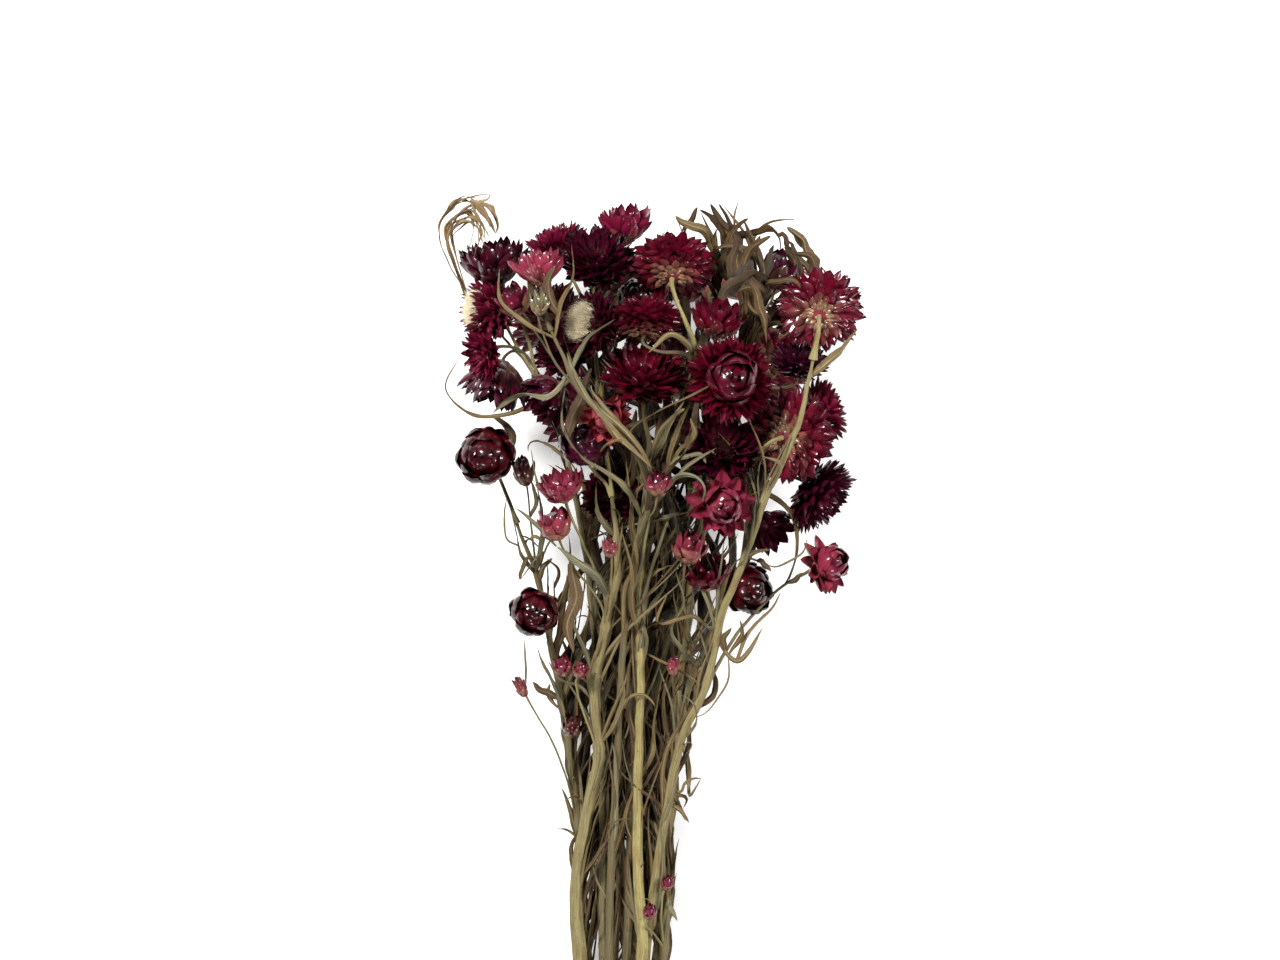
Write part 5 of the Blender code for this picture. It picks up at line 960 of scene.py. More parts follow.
def lay_out():
    """All routes and balls of the bunch before it settles."""
    chains = Chains()
    for name in STEMS:
        route = stem_route(name)
        chains.add_route(name, name, route, stem_radii(name, route))
    places = place_blooms()
    for name, (kind, place, radius, facing, stem, y, finish) in BLOOMS.items():
        index, way = join_index(chains, stem, y)
        end = stalk_base(kind, places[name], radius, facing)
        parts = 4 + int(np.linalg.norm(end - chains.points[index]) > LONG_STALK)
        route = stalk_route(chains.points[index], way, end, unit(facing), parts)
        radii = [stalk_radius(radius)] * len(route)
        chains.add_route(name, stem, route, radii, (index, 0.0), name)
        chains.add_balls(name, name, places[name], kind, radius, facing)
    for name, (place, radius, facing, stem, y) in STALK_BUDS.items():
        index, way = join_index(chains, stem, y)
        middle = np.array(settled_down([place])[0])
        end = middle - unit(facing) * BUD_SINK * radius
        route = stalk_route(chains.points[index], way, end, unit(facing), 3)
        chains.add_route(name, stem, route, [BUD_STALK_RADIUS] * len(route), (index, 0.0), name)
        chains.add_balls(name, stem, middle, "tiny", radius, facing)
    for number, (stem, half_width, twist, route) in enumerate(LEAVES):
        add_blade(chains, f"leaf_{number:02d}", stem, route, half_width)
    add_blade(chains, "tuft_stalk", "stem_07", TUFT_STALK, TUFT_STALK_RADIUS)
    for number, route in enumerate(TUFT_STRANDS):
        add_blade(chains, f"strand_{number}", "stem_07", route, TUFT_STRAND_HALF_WIDTH,
                  "tuft_stalk")
    return chains, places


def add_blade(chains, key, stem, route, half_width, host=None):
    """Add a leaf whose root is the point of its host nearest to where its route begins."""
    route = settled_down(route)
    first, last = chains.routes[host or stem]
    index, part = nearest_on(np.array(chains.points[first:last]), np.array(route[0], float))
    leader = first + index
    root = chains.points[leader] * (1 - part) + chains.points[leader + 1] * part
    route = smooth_route([root] + list(route[1:]), LEAF_STEP)
    chains.add_route(key, stem, route, blade_widths(route, half_width), (leader, part))


def nearest_on(route, place):
    """Where a route comes nearest to a place: the number of a point and the part of the way from
    it to the next, short of either by a little, so that a root never lies in a bend."""
    way = np.diff(route, axis=0)
    part = np.einsum("ij,ij->i", place - route[:-1], way) / np.einsum("ij,ij->i", way, way)
    part = np.clip(part, 0.12, 0.88)
    near = route[:-1] + way * part[:, None]
    index = int(np.argmin(np.linalg.norm(near - place, axis=1)))
    return index, part[index]


def blade_widths(route, half_width):
    """Half widths of a leaf: narrow at its foot, full in the middle and a point at its tip."""
    t = np.linspace(0, 1, len(route))
    return half_width * np.maximum(LEAF_FOOT_WIDTH, np.sin(math.pi * (0.18 + 0.80 * t)) ** 0.7)


def route_frames(route, twist_degrees):
    """Two directions across the route at each point, turned evenly by the twist."""
    ways = np.gradient(route, axis=0)
    ways /= np.linalg.norm(ways, axis=1)[:, None]
    side = unit(np.cross(ways[0], (0.2, 0.1, 1.0)))
    sides = []
    for way in ways:
        side = unit(side - way * side.dot(way))
        sides.append(side)
    sides = np.array(sides)
    ups = np.cross(ways, sides)
    turn = np.radians(twist_degrees) * np.linspace(0, 1, len(route))[:, None]
    return sides * np.cos(turn) + ups * np.sin(turn), ups * np.cos(turn) - sides * np.sin(turn)


def ring_points(route, side, up, reach, angle):
    """Points about each point of a route: reach cos(angle) to its side and reach sin(angle) up,
    where reach and angle have a row for each point of the route and a column for each corner."""
    return (route[:, None] + side[:, None] * (reach * np.cos(angle))[:, :, None]
            + up[:, None] * (reach * np.sin(angle))[:, :, None])


def linear(channel):
    """One sRGB channel, 0 to 1, as linear light."""
    return channel / 12.92 if channel <= 0.04045 else ((channel + 0.055) / 1.055) ** 2.4


def colour(hex_colour):
    """An sRGB hex value such as "7a1230" as a linear colour with full opacity."""
    return tuple(linear(int(hex_colour[k:k + 2], 16) / 255) for k in (0, 2, 4)) + (1.0,)


def to_frame(points):
    """Table millimetres as metres about the middle of the bunch."""
    return (np.asarray(points) - (TABLE_ZERO_X, TABLE_ZERO_Y, 0)) * MM


class Surface:
    """Parts of one piece as whole arrays: points, faces and what the material reads at a point."""

    def __init__(self):
        self.points, self.quads, self.tris, self.places = [], [], [], []
        self.marks = {}
        self.count = 0

    def add(self, points, quads, tris, places, **marks):
        """Add a part. places are its (across, along) in the UV map; a mark is one value or one
        for each point, such as tone."""
        points = np.asarray(points, float).reshape(-1, 3)
        self.points.append(points)
        self.quads.append(np.asarray(quads, int).reshape(-1, 4) + self.count)
        self.tris.append(np.asarray(tris, int).reshape(-1, 3) + self.count)
        self.places.append(np.asarray(places, float).reshape(-1, 2))
        for name, value in marks.items():
            self.marks.setdefault(name, []).append(np.broadcast_to(value, len(points)).ravel())
        self.count += len(points)


def make_piece(name, surface, material, replaced=(), crease=50.0):
    """Make the object of a surface: it rides on the bunch and stands for the replaced nodes.
    Edges sharper than crease degrees stay sharp, the rest is smooth. A height h below the floor
    press f becomes f exp(h / f - 1), which stays above the table."""
    points = np.concatenate(surface.points)
    low = points[:, 2] < FLOOR_PRESS
    points[low, 2] = FLOOR_PRESS * np.exp(points[low, 2] / FLOOR_PRESS - 1)
    points = to_frame(points)
    quads, tris = np.concatenate(surface.quads), np.concatenate(surface.tris)
    corners = np.concatenate([quads.ravel(), tris.ravel()]).astype(np.int32)
    sizes = np.concatenate([np.full(len(quads), 4), np.full(len(tris), 3)])
    mesh = bpy.data.meshes.new(name)
    mesh.vertices.add(len(points))
    mesh.vertices.foreach_set("co", points.ravel().astype(np.float32))
    mesh.loops.add(len(corners))
    mesh.loops.foreach_set("vertex_index", corners)
    mesh.polygons.add(len(sizes))
    mesh.polygons.foreach_set("loop_start", (np.cumsum(sizes) - sizes).astype(np.int32))
    mesh.update(calc_edges=True)
    if mesh.validate():
        raise RuntimeError(f"{name}: its mesh had faults")
    places = np.concatenate(surface.places)[corners]
    mesh.uv_layers.new(name="UVMap").data.foreach_set("uv", places.ravel().astype(np.float32))
    for mark, values in surface.marks.items():
        layer = mesh.attributes.new(mark, "FLOAT", "POINT")
        layer.data.foreach_set("value", np.concatenate(values).astype(np.float32))
    mesh.shade_smooth()
    mesh.set_sharp_from_angle(angle=math.radians(crease))
    mesh.materials.append(material)
    piece = bpy.data.objects.new(name, mesh)
    bpy.context.scene.collection.objects.link(piece)
    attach(piece, "root")
    if replaced:
        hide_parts(*replaced)


@functools.lru_cache(maxsize=None)
def blade_template(rows, columns):
    """Faces of one closed blade: a front sheet of rows by columns that ends in a tip, and a back
    sheet that shares its foot, its two edges and its tip."""
    front = np.arange((rows - 1) * columns).reshape(rows - 1, columns)
    tip = front.size
    back = front.copy()
    back[1:, 1:-1] = tip + 1 + np.arange((rows - 2) * (columns - 2)).reshape(rows - 2, -1)

    def sheet(grid, flip):
        low, high = grid[:-1], grid[1:]
        quads = np.stack([low[:, :-1], high[:, :-1], high[:, 1:], low[:, 1:]], axis=2)
        last = grid[-1]
        tris = np.stack([last[:-1], np.full(columns - 1, tip), last[1:]], axis=1)
        quads = quads.reshape(-1, 4)
        return (quads[:, ::-1], tris[:, ::-1]) if flip else (quads, tris)

    (quads, tris), (back_quads, back_tris) = sheet(front, False), sheet(back, True)
    return np.vstack([quads, back_quads]), np.vstack([tris, back_tris])


def add_blades(surface, front, back, **marks):
    """Add closed thin blades, such as bracts or leaves, all with the same grid.

    front and back are arrays of blade, row, column and coordinate. Row 0 is the foot, the last
    row is the tip, and both sheets meet in the foot, the side columns and the tip.
    """
    blades, rows, columns = front.shape[:3]
    quads, tris = blade_template(rows, columns)
    middle = columns // 2
    across, along = np.meshgrid(np.linspace(0, 1, columns), np.linspace(0, 1, rows))
    grid = np.stack([across, along], axis=2)

    def gather(sheet, other):
        parts = [sheet[:, :-1].reshape(blades, -1, sheet.shape[-1]),
                 sheet[:, -1:, middle], other[:, 1:-1, 1:-1].reshape(blades, -1, sheet.shape[-1])]
        return np.concatenate(parts, axis=1)

    points = gather(front, back)
    count = points.shape[1]
    places = gather(grid[None].repeat(blades, 0), grid[None].repeat(blades, 0))
    start = (np.arange(blades) * count)[:, None, None]
    marks = {name: np.repeat(np.broadcast_to(value, blades), count)
             for name, value in marks.items()}
    surface.add(points, quads[None] + start, tris[None] + start, places, **marks)


def add_tube(surface, rings, lengths, **marks):
    """Add a closed tube from rings of points, an array of ring, corner and coordinate. lengths is
    how far along each ring lies, in millimetres, for the UV map. Each end is closed by a fan
    about the middle of its last ring."""
    count, sides = rings.shape[:2]
    index = np.arange(count * sides).reshape(count, sides)
    after = np.roll(index, -1, axis=1)
    quads = np.stack([index[:-1], after[:-1], after[1:], index[1:]], axis=2).reshape(-1, 4)
    first, last = count * sides, count * sides + 1
    tris = np.concatenate([
        np.stack([np.full(sides, first), after[0], index[0]], axis=1),
        np.stack([np.full(sides, last), index[-1], after[-1]], axis=1)])
    points = np.concatenate([rings.reshape(-1, 3), rings[0].mean(0)[None],
                             rings[-1].mean(0)[None]])
    around = 1 - abs(2 * np.arange(sides) / sides - 1)
    places = np.stack(np.broadcast_arrays(around[None], np.asarray(lengths)[:, None]), axis=2)
    places = np.concatenate([places.reshape(-1, 2), [[0.5, lengths[0]], [0.5, lengths[-1]]]])
    marks = {name: np.concatenate([np.repeat(value, sides), [value[0], value[-1]]])
             if np.ndim(value) else value for name, value in marks.items()}
    surface.add(points, quads, tris, places, **marks)


def add_lathe(surface, profile, middle, frame, sides, **marks):
    """Add a closed turned form: the profile of (reach, height) carried round the head's axis, at
    angle 2 pi k / n, with a point on the axis at either end."""
    profile = np.asarray(profile, float)
    angle = 2 * math.pi * np.arange(sides) / sides
    local = np.stack([profile[:, :1] * np.cos(angle), profile[:, :1] * np.sin(angle),
                      profile[:, 1:].repeat(sides, axis=1)], axis=2)
    rings = middle + local @ frame.T
    add_tube(surface, rings, profile[:, 1], **marks)


def bract_shapes(form, radius, count, rng):
    """Front and back sheets of all bracts of a head about its middle, and their dryness.

    Bract i stands at the golden angle times i, from the outermost to the innermost. Its middle
    line leaves its root at the tilt and turns by the bend times t to the power 1.3. It is as wide
    as its half width times sin(pi (0.12 + 0.88 t)^widest) to a power that is less for wide
    bracts, whose tips are blunt, and hollow by its half width times the hollow times v squared,
    v from -1 to 1 across it.
    """
    table, widest = np.array(FORMS[form]), BRACTS[form][1]
    station = np.linspace(0, 1, count)
    root, height, length, half, tilt, bend, hollow, dry = (
        np.interp(station, table[:, 0], table[:, k])[:, None] for k in range(1, 9))
    point = np.clip(0.95 - 1.4 * half, 0.45, 0.85)
    spread = rng.normal(size=(7, count, 1))
    length = length * (1 + 0.055 * np.clip(spread[0], -2, 1.6))
    half = half * (1 + 0.12 * np.clip(spread[1], -2, 2))
    tilt = np.radians(tilt + 4.0 * spread[2])
    bend = np.radians(bend + 8.0 * spread[3])
    t = np.linspace(0, 1, BRACT_STEPS + 1)[None]
    slope = tilt + bend * t ** 1.3
    step = length / BRACT_STEPS
    out = root + np.cumsum(np.cos(slope), axis=1) * step
    rise = height + np.cumsum(np.sin(slope), axis=1) * step
    t, slope, out, rise = (x[:, BRACT_ROWS] for x in (t, slope, out, rise))
    wide = half * np.sin(math.pi * (0.12 + 0.88 * t) ** widest).clip(0) ** point
    wide[:, 0] = 0.75 * half[:, 0]
    v = np.linspace(-1, 1, BRACT_COLUMNS)
    t, slope, out, rise, wide = (x[:, :, None] for x in (t, slope, out, rise, wide))
    ripple = 0.10 * wide * np.sin(7 * t + 3 * spread[6][:, :, None]) * abs(v)
    roll = 0.18 * spread[4][:, :, None] * t
    lift = wide * (hollow[:, :, None] * v ** 2 + roll * v) + ripple
    sway = 0.10 * spread[5][:, :, None] * t ** 2 * length[:, :, None]
    azimuth = (np.arange(count) * GOLDEN_ANGLE)[:, None, None] + 0.09 * spread[5][:, :, None]

    def placed(lift):
        reach = out - np.sin(slope) * lift
        beside = wide * v + sway
        up = rise + np.cos(slope) * lift + 0 * v
        return radius * np.stack([reach * np.cos(azimuth) - beside * np.sin(azimuth),
                                  reach * np.sin(azimuth) + beside * np.cos(azimuth), up], axis=3)

    thick = BRACT_THICKNESS / radius * (1 - v ** 2) * np.minimum(1, 0.4 + 3 * t)
    return placed(lift), placed(lift - thick), dry[:, 0]


def add_head(surface, form, radius, frame, middle, seed, share=1.0):
    """Add all bracts of one head: more on a larger head, by the ratio of its radius to
    FULL_RADIUS to the power 0.6."""
    rng = np.random.default_rng(seed)
    crowd = min(1.25, max(0.7, (radius / FULL_RADIUS) ** 0.6))
    count = max(12, int(BRACTS[form][0] * share * crowd))
    front, back, dry = bract_shapes(form, radius, count, rng)
    dry = np.clip(dry + 0.12 * rng.normal(size=count) * (dry > 0.02), 0, 1)
    # inner runs from 0 at the outermost bract to 1 at the innermost: the bract material paints
    # shade by it
    add_blades(surface, middle + front @ frame.T, middle + back @ frame.T,
               tone=rng.random(count), dry=dry, inner=np.linspace(0, 1, count))


def turned_core(form):
    """The profile of the closed core of a head, as parts of its radius, on a smooth curve."""
    rows = CORES.get(form, CORES["other"])
    fine = smooth_route([(reach, 0, height) for reach, height in rows], 0.06)
    return fine[:, [0, 2]]


def add_hairs(surface, roots, ways, lengths, radius, rng):
    """Add fine closed hairs: each a three-sided spike from its root along its way."""
    count = len(roots)
    ways = ways / np.linalg.norm(ways, axis=1)[:, None]
    side = np.cross(ways, rng.normal(size=(count, 3)))
    side /= np.linalg.norm(side, axis=1)[:, None]
    up = np.cross(ways, side)
    angle = 2 * math.pi * np.arange(3) / 3
    ring = (side[:, None] * np.cos(angle)[:, None] + up[:, None] * np.sin(angle)[:, None])
    foot = roots[:, None] + ring * radius
    bow = rng.normal(size=(count, 1)) * 0.18 * lengths[:, None] * side
    waist = foot + ways[:, None] * (0.55 * lengths)[:, None, None] + bow[:, None]
    tip = roots + ways * lengths[:, None] + 0.4 * bow
    points = np.concatenate([foot, waist, tip[:, None]], axis=1)
    k = np.arange(3)
    after = (k + 1) % 3
    quads = np.stack([k, after, after + 3, k + 3], axis=1)
    tris = np.concatenate([np.stack([k + 3, after + 3, np.full(3, 6)], axis=1), [[2, 1, 0]]])
    start = (np.arange(count) * 7)[:, None, None]
    along = np.repeat([0.0, 0.55, 1.0], [3, 3, 1])
    places = np.stack([np.full((count, 7), 0.5), along[None].repeat(count, 0)], axis=2)
    surface.add(points, quads[None] + start, tris[None] + start, places,
                tone=np.repeat(rng.random(count), 7))


def ribbon_sheets(route, half, side, up, curl, ripple, rng):
    """Front and back sheets of one leaf, with a row for each point of its route. Across it the
    surface bends to an arc of curl radians either side of its midrib, and its edges ripple by two
    sines along it. The midrib lies in a groove, a bell 0.12 of the half width wide."""
    v = np.linspace(-1, 1, LEAF_COLUMNS)
    t = np.linspace(0, 1, len(route))[:, None]
    phase = rng.random(2) * 6
    half, curl = half[:, None], curl[:, None]
    wave = ripple * half * abs(v) * (
        np.sin(19 * t + 4 * v + phase[0]) + 0.6 * np.sin(43 * t - 5 * v + phase[1]))
    bend = curl * v
    reach = np.where(abs(bend) > 1e-3, np.sin(bend) / np.where(abs(bend) > 1e-3, curl, 1), v)
    lift = half * np.where(abs(curl) > 1e-3,
                           (1 - np.cos(bend)) / np.where(abs(curl) > 1e-3, curl, 1), 0) + wave
    groove = -0.10 * half * np.exp(-(v / 0.12) ** 2)
    front = (route[:, None] + side[:, None] * (half * reach)[:, :, None]
             + up[:, None] * (lift + groove)[:, :, None])
    depth = LEAF_SHEET * (1 - v ** 2) * np.sin(math.pi * np.clip(t, 0.02, 0.98)) ** 0.3
    return front, front - up[:, None] * depth[:, :, None]


@functools.lru_cache(maxsize=1)
def settled_bunch():
    """Routes, and the middle of every bloom and bud, after the bunch has settled."""
    chains, places = lay_out()
    points = settle(chains)
    for name in BLOOMS:
        first = chains.balls[name][0]
        places[name] = places[name] + points[first] - chains.points[first]
    for name, (place, radius, facing, stem, y) in STALK_BUDS.items():
        first = chains.balls[name][0]
        middle = np.array(settled_down([place])[0])
        places[name] = middle + points[first] - chains.points[first]
    return chains, points, places


@functools.lru_cache(maxsize=None)
def kept_route(name, step):
    """One route of the settled bunch as evenly spaced points."""
    chains, points, places = settled_bunch()
    return smooth_route(chains.route(name, points), step)


def settled_route(name, step):
    """A copy of one route of the settled bunch."""
    return kept_route(name, step).copy()


def lengths_along(route):
    """How far along each point of a route lies, in millimetres."""
    return np.concatenate([[0], np.cumsum(np.linalg.norm(np.diff(route, axis=0), axis=1))])


def ribbed_rings(route, radii, ribs, rib_height, rng):
    """Rings of a ribbed stem, two corners for each rib: the radius times 1 plus the rib height
    times the cosine of ribs times the angle, plus slow dents along it."""
    side, up = route_frames(route, 40.0)
    angle = math.pi * np.arange(2 * ribs) / ribs
    along = lengths_along(route)[:, None]
    phase = rng.random(4) * 6
    dents = (0.045 * np.sin(along / 17 + angle + phase[0])
             + 0.030 * np.sin(along / 7 + 2 * angle + phase[1])
             + 0.022 * np.sin(along / 3.1 - 3 * angle + phase[2]))
    swell = radii[:, None] * (1 + rib_height * np.cos(ribs * angle) + dents)
    return ring_points(route, side, up, swell, angle)


def crooked(route, amount, rng):
    """A route that strays sideways and up by three sines of 75, 31 and 13 mm, and not at its
    ends."""
    along = lengths_along(route)[:, None]
    ends = np.minimum(1, np.minimum(along, along[-1] - along) / 12)
    phase = rng.random(6) * 2 * math.pi
    stray = 0
    for way, phases in zip(route_frames(route, 0.0), (phase[:3], phase[3:])):
        stray = stray + way * (0.50 * np.sin(along / 12 + phases[0])
                               + 0.38 * np.sin(along / 5 + phases[1])
                               + 0.14 * np.sin(along / 2.1 + phases[2]))
    return route + amount * ends * stray


def with_knots(route, radii, places):
    """Radii with a swelling where a leaf or stalk leaves the stem: 1 plus KNOT_RISE times a bell
    of KNOT_REACH about each place."""
    if not len(places):
        return radii
    gap = np.linalg.norm(route[:, None] - np.asarray(places)[None], axis=2)
    return radii * (1 + KNOT_RISE * np.exp(-(gap / KNOT_REACH) ** 2).max(axis=1))


def make_bloom(name, growth, share):
    """The bracts and core of one head, and the cream hairs in its middle where it shows them."""
    kind, place, radius, facing, stem, y, finish = BLOOMS[name]
    chains, points, places = settled_bunch()
    middle, seed = places[name], list(BLOOMS).index(name) + HEAD_SEED
    form = FORM_OF_BLOOM.get(name, FORM_OF_KIND[kind])
    axes = bloom_frame(facing) * (1, 1, HEAD_STRETCH.get(name, 1.0))
    size = radius * growth * BLOOM_GROWTH.get(name, 1.0)
    bracts = Surface()
    # The core takes inner 1.0, the full painted shade of the innermost bracts
    add_lathe(bracts, turned_core(form) * size, middle, axes, CORE_SIDES, tone=0.5, dry=0.15,
              inner=1.0)
    add_head(bracts, form, size, axes, middle, seed, share)
    make_piece(name + "_bracts", bracts, dried_bract(LOOK_OF_BLOOM.get(name, finish)),
               (name,))
    if form in HAIRS:
        hairs = Surface()
        add_pappus(hairs, name, form, size, axes, middle, np.random.default_rng(seed))
        make_piece(name + "_pappus", hairs, cream_pappus())


def add_pappus(surface, name, form, size, axes, middle, rng):
    """Add the cream hairs of a head's disc.

    Hair i of n stands at the golden angle times i, at the disc's reach times the square root of
    i / n. It leans out by 0.4 of i / n, and is longer by the root of the head's stretch.
    """
    reach, height, rise, count, length = HAIRS[form]
    number = int(count * (BLOOMS[name][2] / FULL_RADIUS) ** 1.2)
    turn = np.arange(number) * GOLDEN_ANGLE
    out = np.sqrt((np.arange(number) + 0.5) / number)
    local = np.stack([reach * out * np.cos(turn), reach * out * np.sin(turn),
                      height + rise * (1 - out ** 2)], axis=1)
    lean = np.stack([0.4 * out ** 2 * np.cos(turn), 0.4 * out ** 2 * np.sin(turn),
                     np.ones(number)], axis=1) + 0.10 * rng.normal(size=(number, 3))
    lengths = (size * length * math.sqrt(HEAD_STRETCH.get(name, 1.0))
               * (0.8 + 0.3 * rng.random(number)))
    add_hairs(surface, middle + size * local @ axes.T, lean @ axes.T, lengths, HAIR_RADIUS, rng)


def make_stem(name):
    """The ribbed stem with its flower stalks, and its leaves as a second piece."""
    rng = np.random.default_rng(STEM_SEED + list(STEMS).index(name))
    route = settled_route(name, STEM_RING_STEP)
    loose = np.clip((route[:, 1:2] - TIE_Y - LOOSE_FROM) / LOOSE_OVER, 0, 1)
    route = route + loose * (crooked(route, CROOKED_STEM, rng) - route)
    stalks = [key for key, row in BLOOMS.items() if row[4] == name]
    stalks += [key for key, row in STALK_BUDS.items() if row[3] == name]
    leaves = [k for k, row in enumerate(LEAVES) if row[0] == name]
    radii = drawn_radii(name, route, stalks + [f"leaf_{k:02d}" for k in leaves])
    tone = STEM_TONES.get(name, 0.2 + 0.5 * rng.random())
    bark = Surface()
    add_tube(bark, ribbed_rings(route, radii, *STEM_RIBS, rng), lengths_along(route), tone=tone)
    for key in stalks:
        add_stalk(bark, key, tone, rng)
    make_piece(name + "_bark", bark, dry_stem_bark(), (name,))
    foliage = Surface()
    add_modelled_leaves(foliage, leaves, rng)
    add_drawn_leaves(foliage, name, rng)
    add_filling_leaves(foliage, name, route, radii, rng)
    make_piece(name + "_leaves", foliage, dried_leaf(), crease=LEAF_CREASE)


def drawn_radii(name, route, branches):
    """Radii of a stem as drawn: those of its solid with knots where its branches leave, thinner
    up the bunch and towards its end."""
    chains, points, places = settled_bunch()
    starts = [points[chains.routes[key][0]] for key in branches]
    radii = with_knots(route, np.interp(route[:, 1], *radius_steps(name)), starts)
    along = lengths_along(route)
    radii = radii * np.interp(route[:, 1], *STEM_THINNING)
    return radii * np.interp(along[-1] - along, (0, STEM_END), (STEM_END_THINNING, 1))


def add_stalk(surface, key, stem_tone, rng):
    """Add the ribbed stalk of a bloom or bud. It narrows by a third along it, but widens by a
    bell where it leaves the stem and by half of t to the power 12 under its bloom."""
    stalk = crooked(settled_route(key, STALK_RING_STEP), CROOKED_STALK, rng)
    thick = stalk_radius(BLOOMS[key][2]) if key in BLOOMS else BUD_STALK_RADIUS
    t = np.linspace(0, 1, len(stalk))
    widths = thick * STALK_THINNING * (0.95 - 0.32 * t + 0.7 * np.exp(-(t * len(t) / 2.2) ** 2)
                                       + 0.5 * t ** 12)
    add_tube(surface, ribbed_rings(stalk, widths, *STALK_RIBS, rng), lengths_along(stalk),
             tone=np.clip(stem_tone + 0.2 * rng.normal(), 0, 1))


def add_modelled_leaves(surface, numbers, rng):
    """Add the leaves that the solids have too, each with its withered sisters."""
    for k in numbers:
        stem, half, twist, seen = LEAVES[k]
        route = settled_route(f"leaf_{k:02d}", LEAF_ROW_STEP)
        add_leaf(surface, route, half * LEAF_GROWTH, twist, leaf_age(k), rng)
        for sister in range(SISTERS.get(k, 0)):
            stray = curled(withered(route, 2.4, rng), -40 - 190 * rng.random(), rng)
            add_leaf(surface, stray, half * (0.6 + 0.4 * rng.random()),
                     200 * (rng.random() - 0.5), leaf_age(k) + 0.2 * rng.normal(), rng, 0.3)


def add_filling_leaves(surface, name, stem, radii, rng):
    """Add the many thin leaves along and about one stem, by rule: short curled ones, ones that wind
    about it, strips towards another stem, and broad dark ones that lie low, which are painted shade
    in the gaps behind the stems."""
    for turn in range(SPARE_LEAVES):
        spare, half, twist = spare_leaf(stem, rng)
        add_leaf(surface, spare, half, twist, 0.2 + 0.6 * rng.random(), rng)
    for turn in range(CLASPING_LEAVES):
        add_leaf(surface, clasping_route(stem, radii, rng), 0.8 + 1.0 * rng.random(),
                 260 * (rng.random() - 0.5), 0.1 + 0.6 * rng.random(), rng)
    for turn in range(CROSSING_LEAVES):
        add_leaf(surface, crossing_route(name, rng), 0.5 + 1.3 * rng.random() ** 1.5,
                 300 * (rng.random() - 0.5), 0.1 + 1.3 * rng.random(), rng)
    # Painted shade: nearly black leaves, pressed down to 0.35 to 0.75 of their height, darken the
    # gaps behind the stems
    for turn in range(SHADE_LEAVES):
        low = crossing_route(name, rng, 0.5) * (1, 1, 0.35 + 0.4 * rng.random())
        add_leaf(surface, low, 1.6 + 2.2 * rng.random(), 200 * (rng.random() - 0.5),
                 1.2 + 0.5 * rng.random(), rng)


def radius_steps(name):
    """Heights along the bunch and the stem's radius there, for interpolation."""
    chains, points, places = settled_bunch()
    route = chains.route(name, points)
    given = stem_radii(name, np.array(chains.points)[slice(*chains.routes[name])])
    order = np.argsort(route[:, 1])
    return route[order, 1], given[order]


def add_leaf(surface, route, half_width, twist, age, rng, taper=0.75):
    """Add one dried leaf along a route: narrow at its foot, rolled and rippled across, with a
    longer tip for a larger taper. Its middle line also wavers by a sine along it."""
    t = np.linspace(0, 1, len(route))
    side, up = route_frames(route, twist)
    waver = 0.22 * half_width * np.sin(9 * t + rng.random() * 6) * np.sin(math.pi * t)
    route = route + side * waver[:, None]
    full = np.sin(math.pi * (0.10 + 0.90 * t)).clip(0) ** taper
    half = half_width * np.maximum(0.30 * (1 - t), full)
    half[-1] = 0
    curl = (0.35 + 1.3 * rng.random()) * (0.6 + 0.5 * np.sin(5 * t + rng.random() * 6)) + 0.05
    route[:, 2] = np.maximum(route[:, 2], 0.4 + half)
    front, back = ribbon_sheets(route, half, side, up, curl, EDGE_RIPPLE, rng)
    add_blades(surface, front[None], back[None], tone=rng.random(), dry=age)


def spare_leaf(stem, rng):
    """Route, half width and twist of one of the short curled leaves along a stem. Its direction
    turns by an even bend about an axis across it, and it starts inside the stem."""
    low, high = np.searchsorted(stem[:, 1], (SPARE_FROM, SPARE_TO))
    k = int(rng.integers(low, max(low + 1, min(high, len(stem) - 4))))
    way = unit(stem[k + 1] - stem[k])
    across = unit(np.cross(way, rng.normal(size=3)))
    across[2] *= 0.6
    lean = math.radians(6 + 38 * rng.random())
    ahead = math.cos(lean) * way + math.sin(lean) * across
    beside = unit(np.cross(ahead, rng.normal(size=3)))
    length = 10 + 26 * rng.random() ** 1.3
    t = np.linspace(0, 1, int(length / 1.3) + 6)[:, None]
    angle = (0.4 + 2.8 * rng.random() ** 2) * t ** 1.4
    ways = np.cos(angle) * ahead + np.sin(angle) * beside
    route = stem[k] + np.cumsum(ways, axis=0) * length / len(t)
    return route, 0.5 + 1.1 * rng.random() ** 1.5, 500 * (rng.random() - 0.5)


def clasping_route(stem, radii, rng):
    """Route of a long leaf that winds once or less about its stem: the stem's own route, moved
    out by the radius times 1.1, and further by t cubed, at an angle that grows along it."""
    length = int((28 + 40 * rng.random()) / np.linalg.norm(stem[1] - stem[0]))
    low = np.searchsorted(stem[:, 1], SPARE_FROM - 20)
    k = int(rng.integers(low, max(low + 1, len(stem) - length - 1)))
    part = slice(k, k + length)
    side, up = route_frames(stem[part], 0.0)
    t = np.linspace(0, 1, len(side))[:, None]
    angle = 6 * rng.random() + (rng.random() - 0.5) * 7 * t
    reach = radii[part, None] * (0.2 + 0.9 * np.minimum(1, 6 * t)) + 5 * rng.random() * t ** 3
    return smooth_route(ring_points(stem[part], side, up, reach, angle)[::2, 0], 1.8)


